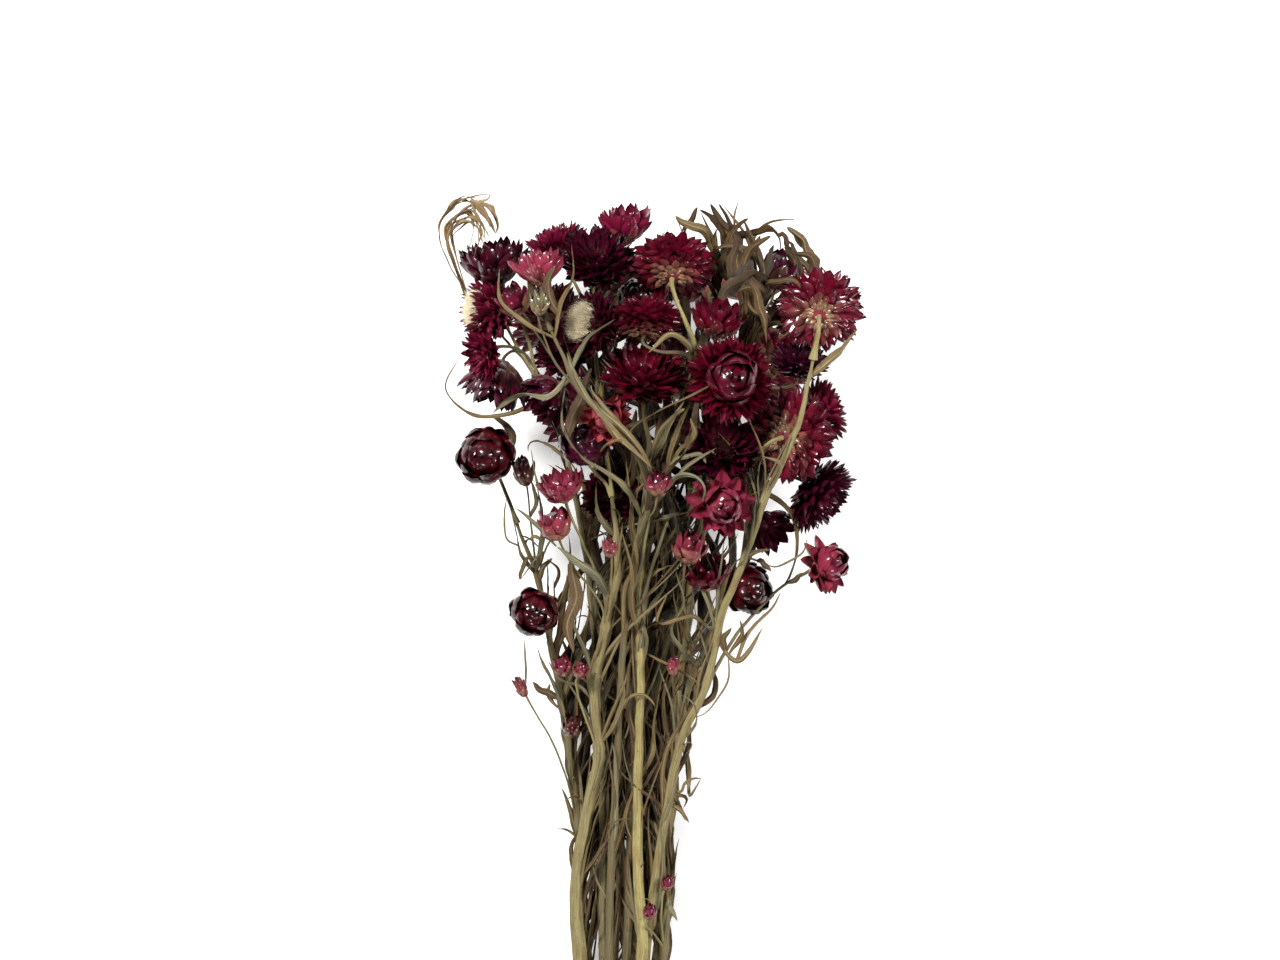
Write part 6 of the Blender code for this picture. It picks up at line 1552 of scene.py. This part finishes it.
def crossing_route(name, rng, evenly=1.0):
    """Route of a strip from one stem towards another: at each height a mix of both stems' places,
    from all of the first to most of the second, bowed sideways by a sine. The second stem is
    the highest of three. Evenly below 1 moves the strips up the bunch."""
    others = [settled_route(list(STEMS)[k], 3.0) for k in rng.integers(0, len(STEMS), 3)]
    ends = [settled_route(name, 3.0), max(others, key=lambda route: route[:, 1].max())]
    length = 32 + 62 * rng.random()
    top = min(route[:, 1].max() for route in ends) - length
    start = -30 + (top + 30) * rng.random() ** evenly
    y = np.linspace(start, start + length, 30)
    here, there = (np.stack([np.interp(y, route[:, 1], route[:, k]) for k in range(3)], axis=1)
                   for route in ends)
    t = np.linspace(0, 1, len(y))[:, None]
    share = (3 * t ** 2 - 2 * t ** 3) * (0.25 + 0.75 * rng.random())
    bow = rng.normal(size=3) * (2.6, 0, 2.6) * np.sin(math.pi * t) ** 2
    route = here * (1 - share) + there * share + bow
    route[:, 1] = y
    return smooth_route(withered(route, 0.8, rng), 2.6)


@functools.lru_cache(maxsize=1)
def carriers():
    """Points of every settled stem, stalk, leaf and tuft strand."""
    leaves = [f"leaf_{k:02d}" for k in range(len(LEAVES))]
    leaves += [f"strand_{k}" for k in range(len(TUFT_STRANDS))]
    names = [*STEMS, *BLOOMS, *STALK_BUDS, *leaves]
    return np.vstack([kept_route(name, STEM_RING_STEP) for name in names])


def rooted_route(seen, rise):
    """Route of a leaf through places seen from above. Its foot moves to the highest carrier
    within 3 mm, the lowest where it falls, or else to the nearest, and it rises evenly."""
    seen = np.array(seen, float)
    gap = np.linalg.norm(carriers()[:, :2] - seen[0], axis=1)
    near = np.flatnonzero(gap < max(3.0, gap.min() + 0.1))
    foot = carriers()[near[np.argmax(math.copysign(1, rise) * carriers()[near, 2])]]
    seen[0] = foot[:2]
    height = foot[2] + rise * np.linspace(0, 1, len(seen))
    return smooth_route(np.column_stack([seen, height]), LEAF_ROW_STEP)


def add_drawn_leaves(surface, name, rng):
    """Add the leaves of DRAWN_LEAVES that grow on one stem, or on the tuft."""
    for half, age, rise, *seen in DRAWN_LEAVES.get(name, ()):
        route = rooted_route(np.reshape(seen, (-1, 2)), rise)
        add_leaf(surface, route, half, 160 * (rng.random() - 0.5), age, rng, DRAWN_TAPER)


def withered(route, amount, rng):
    """A route that strays ever more towards its tip: an offset times t, and two sines of the
    length, in a direction each, times t to the power 1.3."""
    t = np.linspace(0, 1, len(route))[:, None]
    stray = t * rng.normal(size=3) * amount
    for turns in (1.5 + 1.5 * rng.random(), 3 + 3 * rng.random()):
        wave = np.sin(2 * math.pi * turns * t + 6 * rng.random()) * t ** 1.3
        stray = stray + wave * rng.normal(size=3) * amount * 0.8 / turns
    return route + stray


def curled(route, degrees, rng):
    """A route whose second half curls: each step is turned about an axis near the upright by the
    angle times (2 t - 1) to the power 1.2."""
    axis = unit(np.array([0, 0, 1.0]) + 0.35 * rng.normal(size=3))
    steps = np.diff(route, axis=0, prepend=route[:1])
    t = np.linspace(0, 1, len(route))[:, None]
    angle = math.radians(degrees) * np.maximum(0, 2 * t - 1) ** 1.2
    along = (steps @ axis)[:, None] * axis
    turned = (steps * np.cos(angle) + np.cross(axis, steps) * np.sin(angle)
              + along * (1 - np.cos(angle)))
    return route[0] + np.cumsum(turned, axis=0)


def leaf_age(number):
    """How brown a leaf is, from 0, grey green, to 1, dark brown."""
    return LEAF_AGES.get(number, 0.35 + 0.25 * math.sin(2.4 * number))


def make_bud(name, growth):
    """One small bud in its tight bracts."""
    place, radius, facing, stem, y = STALK_BUDS[name]
    chains, points, places = settled_bunch()
    middle = places[name]
    finish, dryness = BUD_FINISHES[name]
    rng = np.random.default_rng(list(STALK_BUDS).index(name) + BUD_SEED)
    slim, stretch = SLIM_BUDS.get(name, (1.0, BUD_STRETCH))
    axes = bloom_frame(facing) * (1, 1, stretch)
    size = radius * growth * slim
    bracts = Surface()
    # The core takes inner 1.0 and the bracts 0 to 1, by which the bract material paints shade
    add_lathe(bracts, turned_core("bud") * size, middle, axes, BUD_CORE_SIDES, tone=0.5, dry=0.6,
              inner=1.0)
    front, back, dry = bract_shapes("bud", 0.95 * size, BUD_BRACTS, rng)
    add_blades(bracts, middle + front @ axes.T, middle + back @ axes.T,
               tone=rng.random(BUD_BRACTS), dry=np.maximum(dry, dryness),
               inner=np.linspace(0, 1, BUD_BRACTS))
    make_piece(name + "_bracts", bracts, dried_bract(finish))


def make_tuft():
    """The straw-coloured tuft: its stalk, the modelled strands and withered wisps beside them."""
    rng = np.random.default_rng(TUFT_SEED)
    stalk = crooked(settled_route("tuft_stalk", STALK_RING_STEP), CROOKED_TUFT, rng)
    tuft = Surface()
    radii = TUFT_STALK_RADIUS * np.linspace(0.9, 0.55, len(stalk))
    add_tube(tuft, ribbed_rings(stalk, radii, *TUFT_RIBS, rng), lengths_along(stalk), tone=0.5,
             dry=0.5)
    for number in range(len(TUFT_STRANDS)):
        strand = withered(settled_route(f"strand_{number}", STRAND_ROW_STEP), 1.6, rng)
        for wisp in range(TUFT_WISPS):
            cut = int(len(strand) * (0.25 + 0.3 * rng.random())) if wisp else 0
            route = withered(strand[cut:], 2.6 * (wisp > 0), rng)
            route = curled(route, -130 * rng.random() * (wisp > 1), rng)
            add_leaf(tuft, route, 0.45 + 0.5 * rng.random(), 900 * (rng.random() - 0.5),
                     0.2 + 0.6 * rng.random(), rng)
    add_drawn_leaves(tuft, "tuft", rng)
    make_piece("straw_tuft", tuft, dry_straw(), crease=LEAF_CREASE)


def plied_twine(surface, route, radius):
    """Add three-ply twine: each ply runs round the route at 0.5 of the radius, one turn in
    PLY_TURN millimetres, and is 0.56 of the radius thick."""
    side, up = route_frames(route, 0.0)
    along = lengths_along(route)
    for ply in range(3):
        turn = 2 * math.pi * (along / PLY_TURN + ply / 3)[:, None]
        middle = ring_points(route, side, up, 0.5 * radius, turn)[:, 0]
        ends = np.minimum(1, 0.35 + np.minimum(along, along[-1] - along) / radius)
        angle = 2 * math.pi * np.arange(PLY_CORNERS) / PLY_CORNERS + turn
        add_tube(surface, ring_points(middle, side, up, 0.56 * radius * ends[:, None], angle),
                 along, tone=ply / 2)


def make_tie():
    """Turns of jute twine round the stems, with a knot and two short ends on the near side.

    The coil climbs evenly along the bunch, one twine's width in a turn. The knot is a closed
    curve whose x, y and z are sums of sines of one, two and three times its turn. Each end runs
    out sideways and sinks by the square of its length.
    """
    twine = Surface()
    t = np.linspace(0, 1, COIL_RINGS)
    angle = math.pi / 2 + 2 * math.pi * (TIE_TURNS + 0.06) * t
    along = TIE_Y + 2 * TWINE_RADIUS * (TIE_TURNS - 1) * (t - 0.5)
    coil = np.stack([BUNDLE_X + COIL_RADIUS * np.cos(angle), along,
                     BUNDLE_Z + COIL_RADIUS * np.sin(angle)], axis=1)
    plied_twine(twine, coil, STRAND_RADIUS)
    top = BUNDLE_Z + COIL_RADIUS + KNOT_HEIGHT
    turn = np.linspace(0, 2 * math.pi, KNOT_RINGS)
    knot = np.stack([BUNDLE_X + 2.6 * np.sin(turn) + 1.2 * np.sin(2 * turn),
                     TIE_Y + 2.4 * np.cos(turn) - 1.0 * np.cos(2 * turn),
                     top + 1.1 * np.sin(3 * turn)], axis=1)
    plied_twine(twine, knot, KNOT_STRAND_RADIUS)
    for way, bow in ((-1, 5.0), (1, -4.0)):
        s = np.linspace(0, 1, TAIL_RINGS)
        tail = np.stack([BUNDLE_X + way * (1.0 + 15 * s), TIE_Y + bow * s ** 1.5 - 1.5 * way,
                         top - 0.4 - 5.5 * s ** 2], axis=1)
        plied_twine(twine, tail, KNOT_STRAND_RADIUS)
    make_piece("tie_twine", twine, jute_twine(), ("tie",))


def set_inputs(node, inputs):
    """Set inputs of a node by number or name, each to a value or to a socket that it is linked
    to."""
    for key, value in dict(inputs).items():
        if isinstance(value, bpy.types.NodeSocket):
            node.id_data.links.new(value, node.inputs[key])
        else:
            node.inputs[key].default_value = value


def add_node(tree, kind, inputs=(), stops=(), out=0, **settings):
    """Add a node with its settings, its inputs and, on a colour ramp, its stops as (place, sRGB
    hex). Returns its output of the number or name out, or a list where out is a slice."""
    node = tree.nodes.new("ShaderNode" + kind)
    for name, value in settings.items():
        setattr(node, name, value)
    for k, (place, hex_colour) in enumerate(stops):
        elements = node.color_ramp.elements
        stop = elements[k] if k < len(elements) else elements.new(place)
        stop.position, stop.color = place, colour(hex_colour)
    set_inputs(node, inputs)
    return node.outputs[out]


def new_material(name, roughness, **sockets):
    """A Principled material with its roughness and further socket values, its shader node, and
    the function that adds a node to it."""
    material = bpy.data.materials.new(name)
    material.use_nodes = True
    shader = material.node_tree.nodes["Principled BSDF"]
    set_inputs(shader, {"Roughness": roughness})
    set_inputs(shader, {socket.replace("_", " "): value for socket, value in sockets.items()})
    return material, shader, functools.partial(add_node, material.node_tree)


def made_once(build):
    """A material's function, which first looks for its material in the file, by the function's
    name and values."""
    @functools.wraps(build)
    def found(*values):
        return bpy.data.materials.get("_".join((build.__name__, *values))) or build(*values)

    return found


@made_once
def dried_bract(finish):
    """Dried strawflower bract: stiff and papery with a glassy skin. The eye sees a warm pale foot,
    a deep body, fine length veins about 0.3 mm apart, dark dry tips and sharp small highlights;
    the outermost scales are dry and tan."""
    foot, body, second, tip = BRACT_COLOURS[finish]
    material, shader, node = new_material("dried_bract_" + finish, 0.36, Coat_Weight=0.6,
                                          Coat_Roughness=0.10, Specular_IOR_Level=0.2)
    across, along = node("SeparateXYZ", {0: node("UVMap", uv_map="UVMap")}, out=slice(2))
    tone, dry, inner = (node("Attribute", attribute_name=mark, out="Fac")
                        for mark in ("tone", "dry", "inner"))
    shift = node("Math", {0: tone, 1: 37.0}, operation="MULTIPLY")
    where = node("CombineXYZ", {0: across, 1: along, 2: shift})
    # 14 veins across a bract, stretched along it
    veins = node("TexNoise", {0: node("Mapping", {0: where, 3: (14.0, 1.3, 1.0)}), "Scale": 1.0,
                              "Detail": 3.0, "Roughness": 0.6})
    blotches = node("TexNoise", {0: node("Mapping", {0: where, 3: (2.0, 3.0, 1.0)}),
                                 "Scale": 1.0, "Detail": 2.0})
    # The colour runs a little up or down the bract with its veins
    run = node("Math", {0: veins, 1: 0.34, 2: -0.17}, operation="MULTIPLY_ADD")
    height = node("Math", {0: along, 1: run}, operation="ADD")
    base = node("ValToRGB", {0: height}, ((0.0, foot), (0.20, body), (0.72, body), (1.0, tip)))
    deep = node("MapRange", {0: blotches, 1: 0.35, 2: 0.7})
    how_deep = node("Math", {0: deep, 1: tone}, operation="MULTIPLY")
    mixed = node("Mix", {0: how_deep, 6: base, 7: colour(second)}, out=2, data_type="RGBA")
    light_scale, dark_scale = DRY_SCALE
    scale = node("ValToRGB", {0: height},
                 ((0.0, dark_scale), (0.45, light_scale), (1.0, dark_scale)))
    dried = node("Mix", {0: dry, 6: mixed, 7: scale}, out=2, data_type="RGBA")
    # Painted shade: inner bracts stand closer, so their colour is darkened, down to 0.72 of it at
    # the innermost bracts and the core
    shade = node("MapRange", {0: veins, 1: 0.25, 2: 0.75, 3: 0.62, 4: 1.30})
    painted_inner_shade = node("MapRange", {0: inner, 1: 0.55, 2: 1.0, 3: 1.0, 4: 0.72})
    light = node("Math", {0: shade, 1: painted_inner_shade}, operation="MULTIPLY")
    set_inputs(shader, {
        "Base Color": node("Mix", {0: 1.0, 6: dried, 7: light}, out=2, data_type="RGBA",
                           blend_type="MULTIPLY"),
        "Roughness": node("MapRange", {0: blotches, 1: 0.3, 2: 0.7, 3: 0.26, 4: 0.48}),
        "Normal": node("Bump", {"Strength": 0.5, "Distance": 0.00012, "Height": veins})})
    return material


@made_once
def dry_stem_bark():
    """Dried herb stem: woody and dull. The eye sees fine length ribs, olive to straw colour by
    stem, browner patches some 15 mm long and dark specks."""
    material, shader, node = new_material("dry_stem_bark", 0.72, Specular_IOR_Level=0.35)
    place = node("UVMap", uv_map="UVMap")
    tone = node("Attribute", attribute_name="tone", out="Fac")
    # UV: halfway round once is 1, and along it is in millimetres
    ribs = node("TexNoise", {0: node("Mapping", {0: place, 3: (16.0, 0.06, 1.0)}), "Scale": 1.0,
                             "Detail": 4.0, "Roughness": 0.65})
    patches = node("TexNoise", {0: node("Mapping", {0: place, 3: (1.2, 0.066, 1.0)}),
                                "Scale": 1.0, "Detail": 3.0})
    specks = node("TexNoise", {0: node("Mapping", {0: place, 3: (9.0, 0.7, 1.0)}),
                               "Scale": 1.0, "Detail": 1.0})
    own = node("ValToRGB", {0: tone},
               ((0.0, "5a5238"), (0.4, "7c724e"), (0.75, "988c5a"), (1.0, "ae9f5c")))
    brown = node("MapRange", {0: patches, 1: 0.46, 2: 0.72, 3: 0.0, 4: 0.55})
    mixed = node("Mix", {0: brown, 6: own, 7: colour("6b4a2c")}, out=2, data_type="RGBA")
    dark = node("MapRange", {0: specks, 1: 0.62, 2: 0.78, 3: 0.0, 4: 0.6})
    specked = node("Mix", {0: dark, 6: mixed, 7: colour("3b2a1c")}, out=2, data_type="RGBA")
    # Painted shade and light: the colour goes from 0.45 to 1.3 of itself with the ribs, whose noise
    # is also the bump's height
    shade = node("MapRange", {0: ribs, 1: 0.3, 2: 0.7, 3: 0.45, 4: 1.3})
    set_inputs(shader, {
        "Base Color": node("Mix", {0: 1.0, 6: specked, 7: shade}, out=2, data_type="RGBA",
                           blend_type="MULTIPLY"),
        "Normal": node("Bump", {"Strength": 0.8, "Distance": 0.0003, "Height": ribs})})
    return material


def leaf_like(name, young, ripe, old, roughness, bump_strength):
    """Shared nodes of thin dry leaf matter: a colour by its dryness, a pale midrib, side veins
    that slant towards the tip, brown edges and mottling."""
    material, shader, node = new_material(name, roughness, Specular_IOR_Level=0.4)
    across, along = node("SeparateXYZ", {0: node("UVMap", uv_map="UVMap")}, out=slice(2))
    tone, dry = (node("Attribute", attribute_name=mark, out="Fac") for mark in ("tone", "dry"))
    shift = node("Math", {0: tone, 1: 23.0}, operation="MULTIPLY")
    where = node("CombineXYZ", {0: across, 1: along, 2: shift})
    from_middle = node("Math", {0: across, 1: 0.5}, operation="SUBTRACT")
    aside = node("Math", {0: from_middle}, operation="ABSOLUTE")
    # Side veins: a sine of 15 turns along the leaf, slanted by the distance from the midrib
    slant = node("Math", {0: aside, 1: -22.0}, operation="MULTIPLY")
    turns = node("Math", {0: along, 1: 94.0, 2: slant}, operation="MULTIPLY_ADD")
    wave = node("Math", {0: turns}, operation="SINE")
    vein = node("MapRange", {0: wave, 1: 0.72, 2: 1.0, 3: 0.0, 4: 0.35})
    rib = node("MapRange", {0: aside, 1: 0.03, 2: 0.09, 3: 0.8, 4: 0.0})
    net = node("Math", {0: vein, 1: rib}, operation="MAXIMUM")
    mottle = node("TexNoise", {0: node("Mapping", {0: where, 3: (3.0, 9.0, 1.0)}), "Scale": 1.0,
                               "Detail": 5.0, "Roughness": 0.65})
    grain = node("TexNoise", {0: node("Mapping", {0: where, 3: (16.0, 5.0, 1.0)}), "Scale": 1.0,
                              "Detail": 3.0})
    wander = node("Math", {0: mottle, 1: 0.7, 2: -0.35}, operation="MULTIPLY_ADD")
    aged = node("Math", {0: dry, 1: wander}, operation="ADD")
    # An age of 1.6 is the last stop: nearly black
    scaled = node("Math", {0: aged, 1: 0.62}, operation="MULTIPLY")
    own = node("ValToRGB", {0: scaled}, ((0.0, young), (0.28, ripe), (0.62, old), (1.0, "160e08")))
    edge = node("MapRange", {0: aside, 1: 0.40, 2: 0.50, 3: 0.0, 4: 0.5})
    edged = node("Mix", {0: edge, 6: own, 7: colour(old)}, out=2, data_type="RGBA")
    fresh = node("MapRange", {0: dry, 1: 0.6, 2: 1.3, 3: 1.0, 4: 0.1})
    shown = node("Math", {0: net, 1: fresh}, operation="MULTIPLY")
    veined = node("Mix", {0: shown, 6: edged, 7: colour("988a64")}, out=2, data_type="RGBA")
    shade = node("MapRange", {0: grain, 1: 0.3, 2: 0.7, 3: 0.65, 4: 1.2})
    relief = node("Math", {0: net, 1: 0.5, 2: grain}, operation="MULTIPLY_ADD")
    set_inputs(shader, {
        "Base Color": node("Mix", {0: 1.0, 6: veined, 7: shade}, out=2, data_type="RGBA",
                           blend_type="MULTIPLY"),
        "Normal": node("Bump", {"Strength": bump_strength, "Distance": 0.0003,
                                "Height": relief})})
    return material


@made_once
def dried_leaf():
    """Dried strawflower leaf: rolled and brittle. The eye sees dull grey green that goes to tan
    and brown olive with age, a pale midrib and browned edges."""
    return leaf_like("dried_leaf", "626650", "6c5832", "50381a", 0.66, 0.8)


@made_once
def dry_straw():
    """Old leaves bleached to straw: pale, silky along the fibre, browner where they curl."""
    return leaf_like("dry_straw", "a58c62", "80643f", "4a3420", 0.6, 0.5)


@made_once
def cream_pappus():
    """Seed hairs of the open heads: a soft cream fluff, each hair paler to its tip."""
    material, shader, node = new_material("cream_pappus", 0.6, Specular_IOR_Level=0.3)
    height = node("SeparateXYZ", {0: node("UVMap", uv_map="UVMap")}, out=1)
    tone = node("Attribute", attribute_name="tone", out="Fac")
    along = node("Math", {0: tone, 1: 0.4, 2: height}, operation="MULTIPLY_ADD")
    set_inputs(shader, {"Base Color": node("ValToRGB", {0: along}, (
        (0.0, "94643c"), (0.28, "d2b88a"), (0.60, "ecdcb0"), (1.0, "f6ecd0")))})
    return material


@made_once
def jute_twine():
    """Three-ply jute twine: hairy and matt. The eye sees golden brown plies with darker fibres
    that run along them, about 0.2 mm apart and drawn at twice that."""
    material, shader, node = new_material("jute_twine", 0.85, Specular_IOR_Level=0.2,
                                          Sheen_Weight=0.25)
    along = node("Mapping", {0: node("UVMap", uv_map="UVMap"), 3: (9.0, 0.45, 1.0)})
    fibres = node("TexNoise", {0: along, "Scale": 1.0, "Detail": 4.0, "Roughness": 0.7})
    set_inputs(shader, {
        "Base Color": node("ValToRGB", {0: fibres},
                           ((0.28, "6e5430"), (0.5, "a78a58"), (0.72, "c9b183"))),
        "Normal": node("Bump", {"Strength": 0.8, "Distance": 0.0003, "Height": fibres})})
    return material


def studio_paper(hex_colour):
    """Matt white backdrop paper that glows faintly, painted light that lights the bunch from below
    and washes out the shadows cast on it, with a faint pulp mottle 40 mm across.
    """
    # Emission strength 0.42: painted light, the floor glows though it is no lamp
    material, shader, node = new_material("studio_paper", 0.95, Specular_IOR_Level=0.1,
                                          Emission_Strength=0.42)
    place = node("TexCoord", out="Object")
    pulp = node("TexNoise", {0: place, "Scale": 25.0, "Detail": 2.0})
    set_inputs(shader, {"Base Color": node("ValToRGB", {0: pulp},
                                           ((0.3, hex_colour), (0.7, "e8e8e6")))})
    return material


def make_studio(studio):
    """A plain pale floor that glows faintly as painted light, soft lights and the camera, which
    looks straight down. Its lens takes in FRAME_WIDTH at the middle of the heads: the focal length
    is to the sensor's width as the camera's height is to that."""
    x, y = np.meshgrid([-FLOOR_REACH, FLOOR_REACH], [-FLOOR_REACH, FLOOR_REACH])
    corners = np.stack([x.ravel(), y.ravel(), np.full(4, FLOOR_LEVEL)], axis=1)
    mesh = bpy.data.meshes.new("studio_floor")
    mesh.from_pydata(corners.tolist(), [], [(0, 1, 3, 2)])
    mesh.materials.append(studio_paper(FLOOR_COLOUR))
    floor = bpy.data.objects.new("studio_floor", mesh)
    bpy.context.scene.collection.objects.link(floor)
    for name, place, size, power in (
            ("key_light", (-1.0, 1.1, 1.55), (0.55, 0.55), studio.key_power),
            ("side_light", (1.25, 0.35, 0.95), (0.15, 0.8), studio.side_power),
            ("near_light", (-0.2, -1.3, 1.1), (0.5, 0.3), studio.near_power)):
        lamp = bpy.data.lights.new(name, "AREA")
        lamp.shape, lamp.size, lamp.size_y, lamp.energy = "RECTANGLE", *size, power
        light = bpy.data.objects.new(name, lamp)
        light.location = place
        ahead = mathutils.Vector(np.subtract(LIT_PLACE, place))
        light.rotation_euler = ahead.to_track_quat("-Z", "Y").to_euler()
        bpy.context.scene.collection.objects.link(light)
    world = bpy.data.worlds.new("studio_air")
    world.use_nodes = True
    air = world.node_tree.nodes["Background"]
    air.inputs[0].default_value = colour("f4f6fa")
    air.inputs[1].default_value = studio.air_light
    bpy.context.scene.world = world
    bpy.context.scene.view_settings.view_transform = "Standard"
    lens = bpy.data.cameras.new("camera")
    lens.sensor_width = 36.0
    lens.lens = lens.sensor_width * studio.camera_height / FRAME_WIDTH
    lens.clip_end = 20.0
    camera = bpy.data.objects.new("camera", lens)
    camera.location = (*FRAME_MIDDLE, studio.camera_height + FOCUS_LEVEL)
    bpy.context.scene.collection.objects.link(camera)
    bpy.context.scene.camera = camera


class StrawflowerBunch(bpy.types.PropertyGroup):
    """What a user would change on the bunch."""
    head_growth: bpy.props.FloatProperty(
        name="Head size", description="Size of the flower heads against their solids",
        default=1.04, min=0.8, max=1.1)
    bract_share: bpy.props.FloatProperty(
        name="Bracts", description="How many bracts a head has, against a full head",
        default=1.0, min=0.3, max=1.2, subtype="FACTOR")


class StrawflowerStudio(bpy.types.PropertyGroup):
    """What a user would change in the studio."""
    camera_height: bpy.props.FloatProperty(
        name="Camera height", description="Height of the camera above the middle of the heads",
        default=2.5, min=1.0, max=5.0, unit="LENGTH")
    key_power: bpy.props.FloatProperty(
        name="Key light", description="Power of the large light at the upper left",
        default=70.0, min=0.0, unit="POWER")
    side_power: bpy.props.FloatProperty(
        name="Side light", description="Power of the tall light at the right",
        default=26.0, min=0.0, unit="POWER")
    near_power: bpy.props.FloatProperty(
        name="Near light", description="Power of the weak light at the stems' side",
        default=10.0, min=0.0, unit="POWER")
    air_light: bpy.props.FloatProperty(
        name="Air light", description="Even light from all round", default=0.05, min=0.0)


class MESH_OT_strawflower_heads(bpy.types.Operator):
    """Builds every flower head: bracts, core and seed hairs"""
    bl_idname = "mesh.strawflower_heads"
    bl_label = "Flower heads"

    def execute(self, context):
        bunch = context.scene.strawflower_bunch
        for name in BLOOMS:
            make_bloom(name, bunch.head_growth, bunch.bract_share)
        return {"FINISHED"}


class MESH_OT_strawflower_stems(bpy.types.Operator):
    """Builds every stem with its flower stalks and leaves"""
    bl_idname = "mesh.strawflower_stems"
    bl_label = "Stems and leaves"

    def execute(self, context):
        for name in STEMS:
            make_stem(name)
        return {"FINISHED"}


class MESH_OT_strawflower_buds(bpy.types.Operator):
    """Builds the small buds that grow on the stems"""
    bl_idname = "mesh.strawflower_buds"
    bl_label = "Small buds"

    def execute(self, context):
        for name in STALK_BUDS:
            make_bud(name, context.scene.strawflower_bunch.head_growth)
        return {"FINISHED"}


class MESH_OT_strawflower_tuft(bpy.types.Operator):
    """Builds the tuft of curled straw-coloured leaves"""
    bl_idname = "mesh.strawflower_tuft"
    bl_label = "Straw tuft"

    def execute(self, context):
        make_tuft()
        return {"FINISHED"}


class MESH_OT_strawflower_tie(bpy.types.Operator):
    """Builds the twine round the stems"""
    bl_idname = "mesh.strawflower_tie"
    bl_label = "Twine tie"

    def execute(self, context):
        make_tie()
        return {"FINISHED"}


class SCENE_OT_strawflower_studio(bpy.types.Operator):
    """Builds the floor, the lights and the camera"""
    bl_idname = "scene.strawflower_studio"
    bl_label = "Studio"

    def execute(self, context):
        make_studio(context.scene.strawflower_studio)
        return {"FINISHED"}


class VIEW3D_PT_strawflower(bpy.types.Panel):
    """Lists the settings and the builders of the bunch"""
    bl_idname = "VIEW3D_PT_strawflower"
    bl_label = "Strawflower bunch"
    bl_space_type = "VIEW_3D"
    bl_region_type = "UI"
    bl_category = "Strawflower"

    def draw(self, context):
        for settings in (context.scene.strawflower_bunch, context.scene.strawflower_studio):
            for name in settings.__annotations__:
                self.layout.prop(settings, name)
        for builder in BUILDERS:
            self.layout.operator(builder.bl_idname)


SETTINGS = (StrawflowerBunch, StrawflowerStudio)
BUILDERS = (SCENE_OT_strawflower_studio, MESH_OT_strawflower_heads, MESH_OT_strawflower_stems,
            MESH_OT_strawflower_buds, MESH_OT_strawflower_tuft, MESH_OT_strawflower_tie)


def register():
    """Register the classes and their settings."""
    for one in SETTINGS + BUILDERS + (VIEW3D_PT_strawflower,):
        bpy.utils.register_class(one)
    bpy.types.Scene.strawflower_bunch = bpy.props.PointerProperty(type=StrawflowerBunch)
    bpy.types.Scene.strawflower_studio = bpy.props.PointerProperty(type=StrawflowerStudio)


def unregister():
    """Take the classes and their settings out again."""
    del bpy.types.Scene.strawflower_studio
    del bpy.types.Scene.strawflower_bunch
    for one in reversed(SETTINGS + BUILDERS + (VIEW3D_PT_strawflower,)):
        bpy.utils.unregister_class(one)


def main():
    """Build the whole scene."""
    register()
    bpy.ops.scene.strawflower_studio()
    bpy.ops.mesh.strawflower_heads()
    bpy.ops.mesh.strawflower_stems()
    bpy.ops.mesh.strawflower_buds()
    bpy.ops.mesh.strawflower_tuft()
    bpy.ops.mesh.strawflower_tie()


if __name__ == "__main__":
    main()
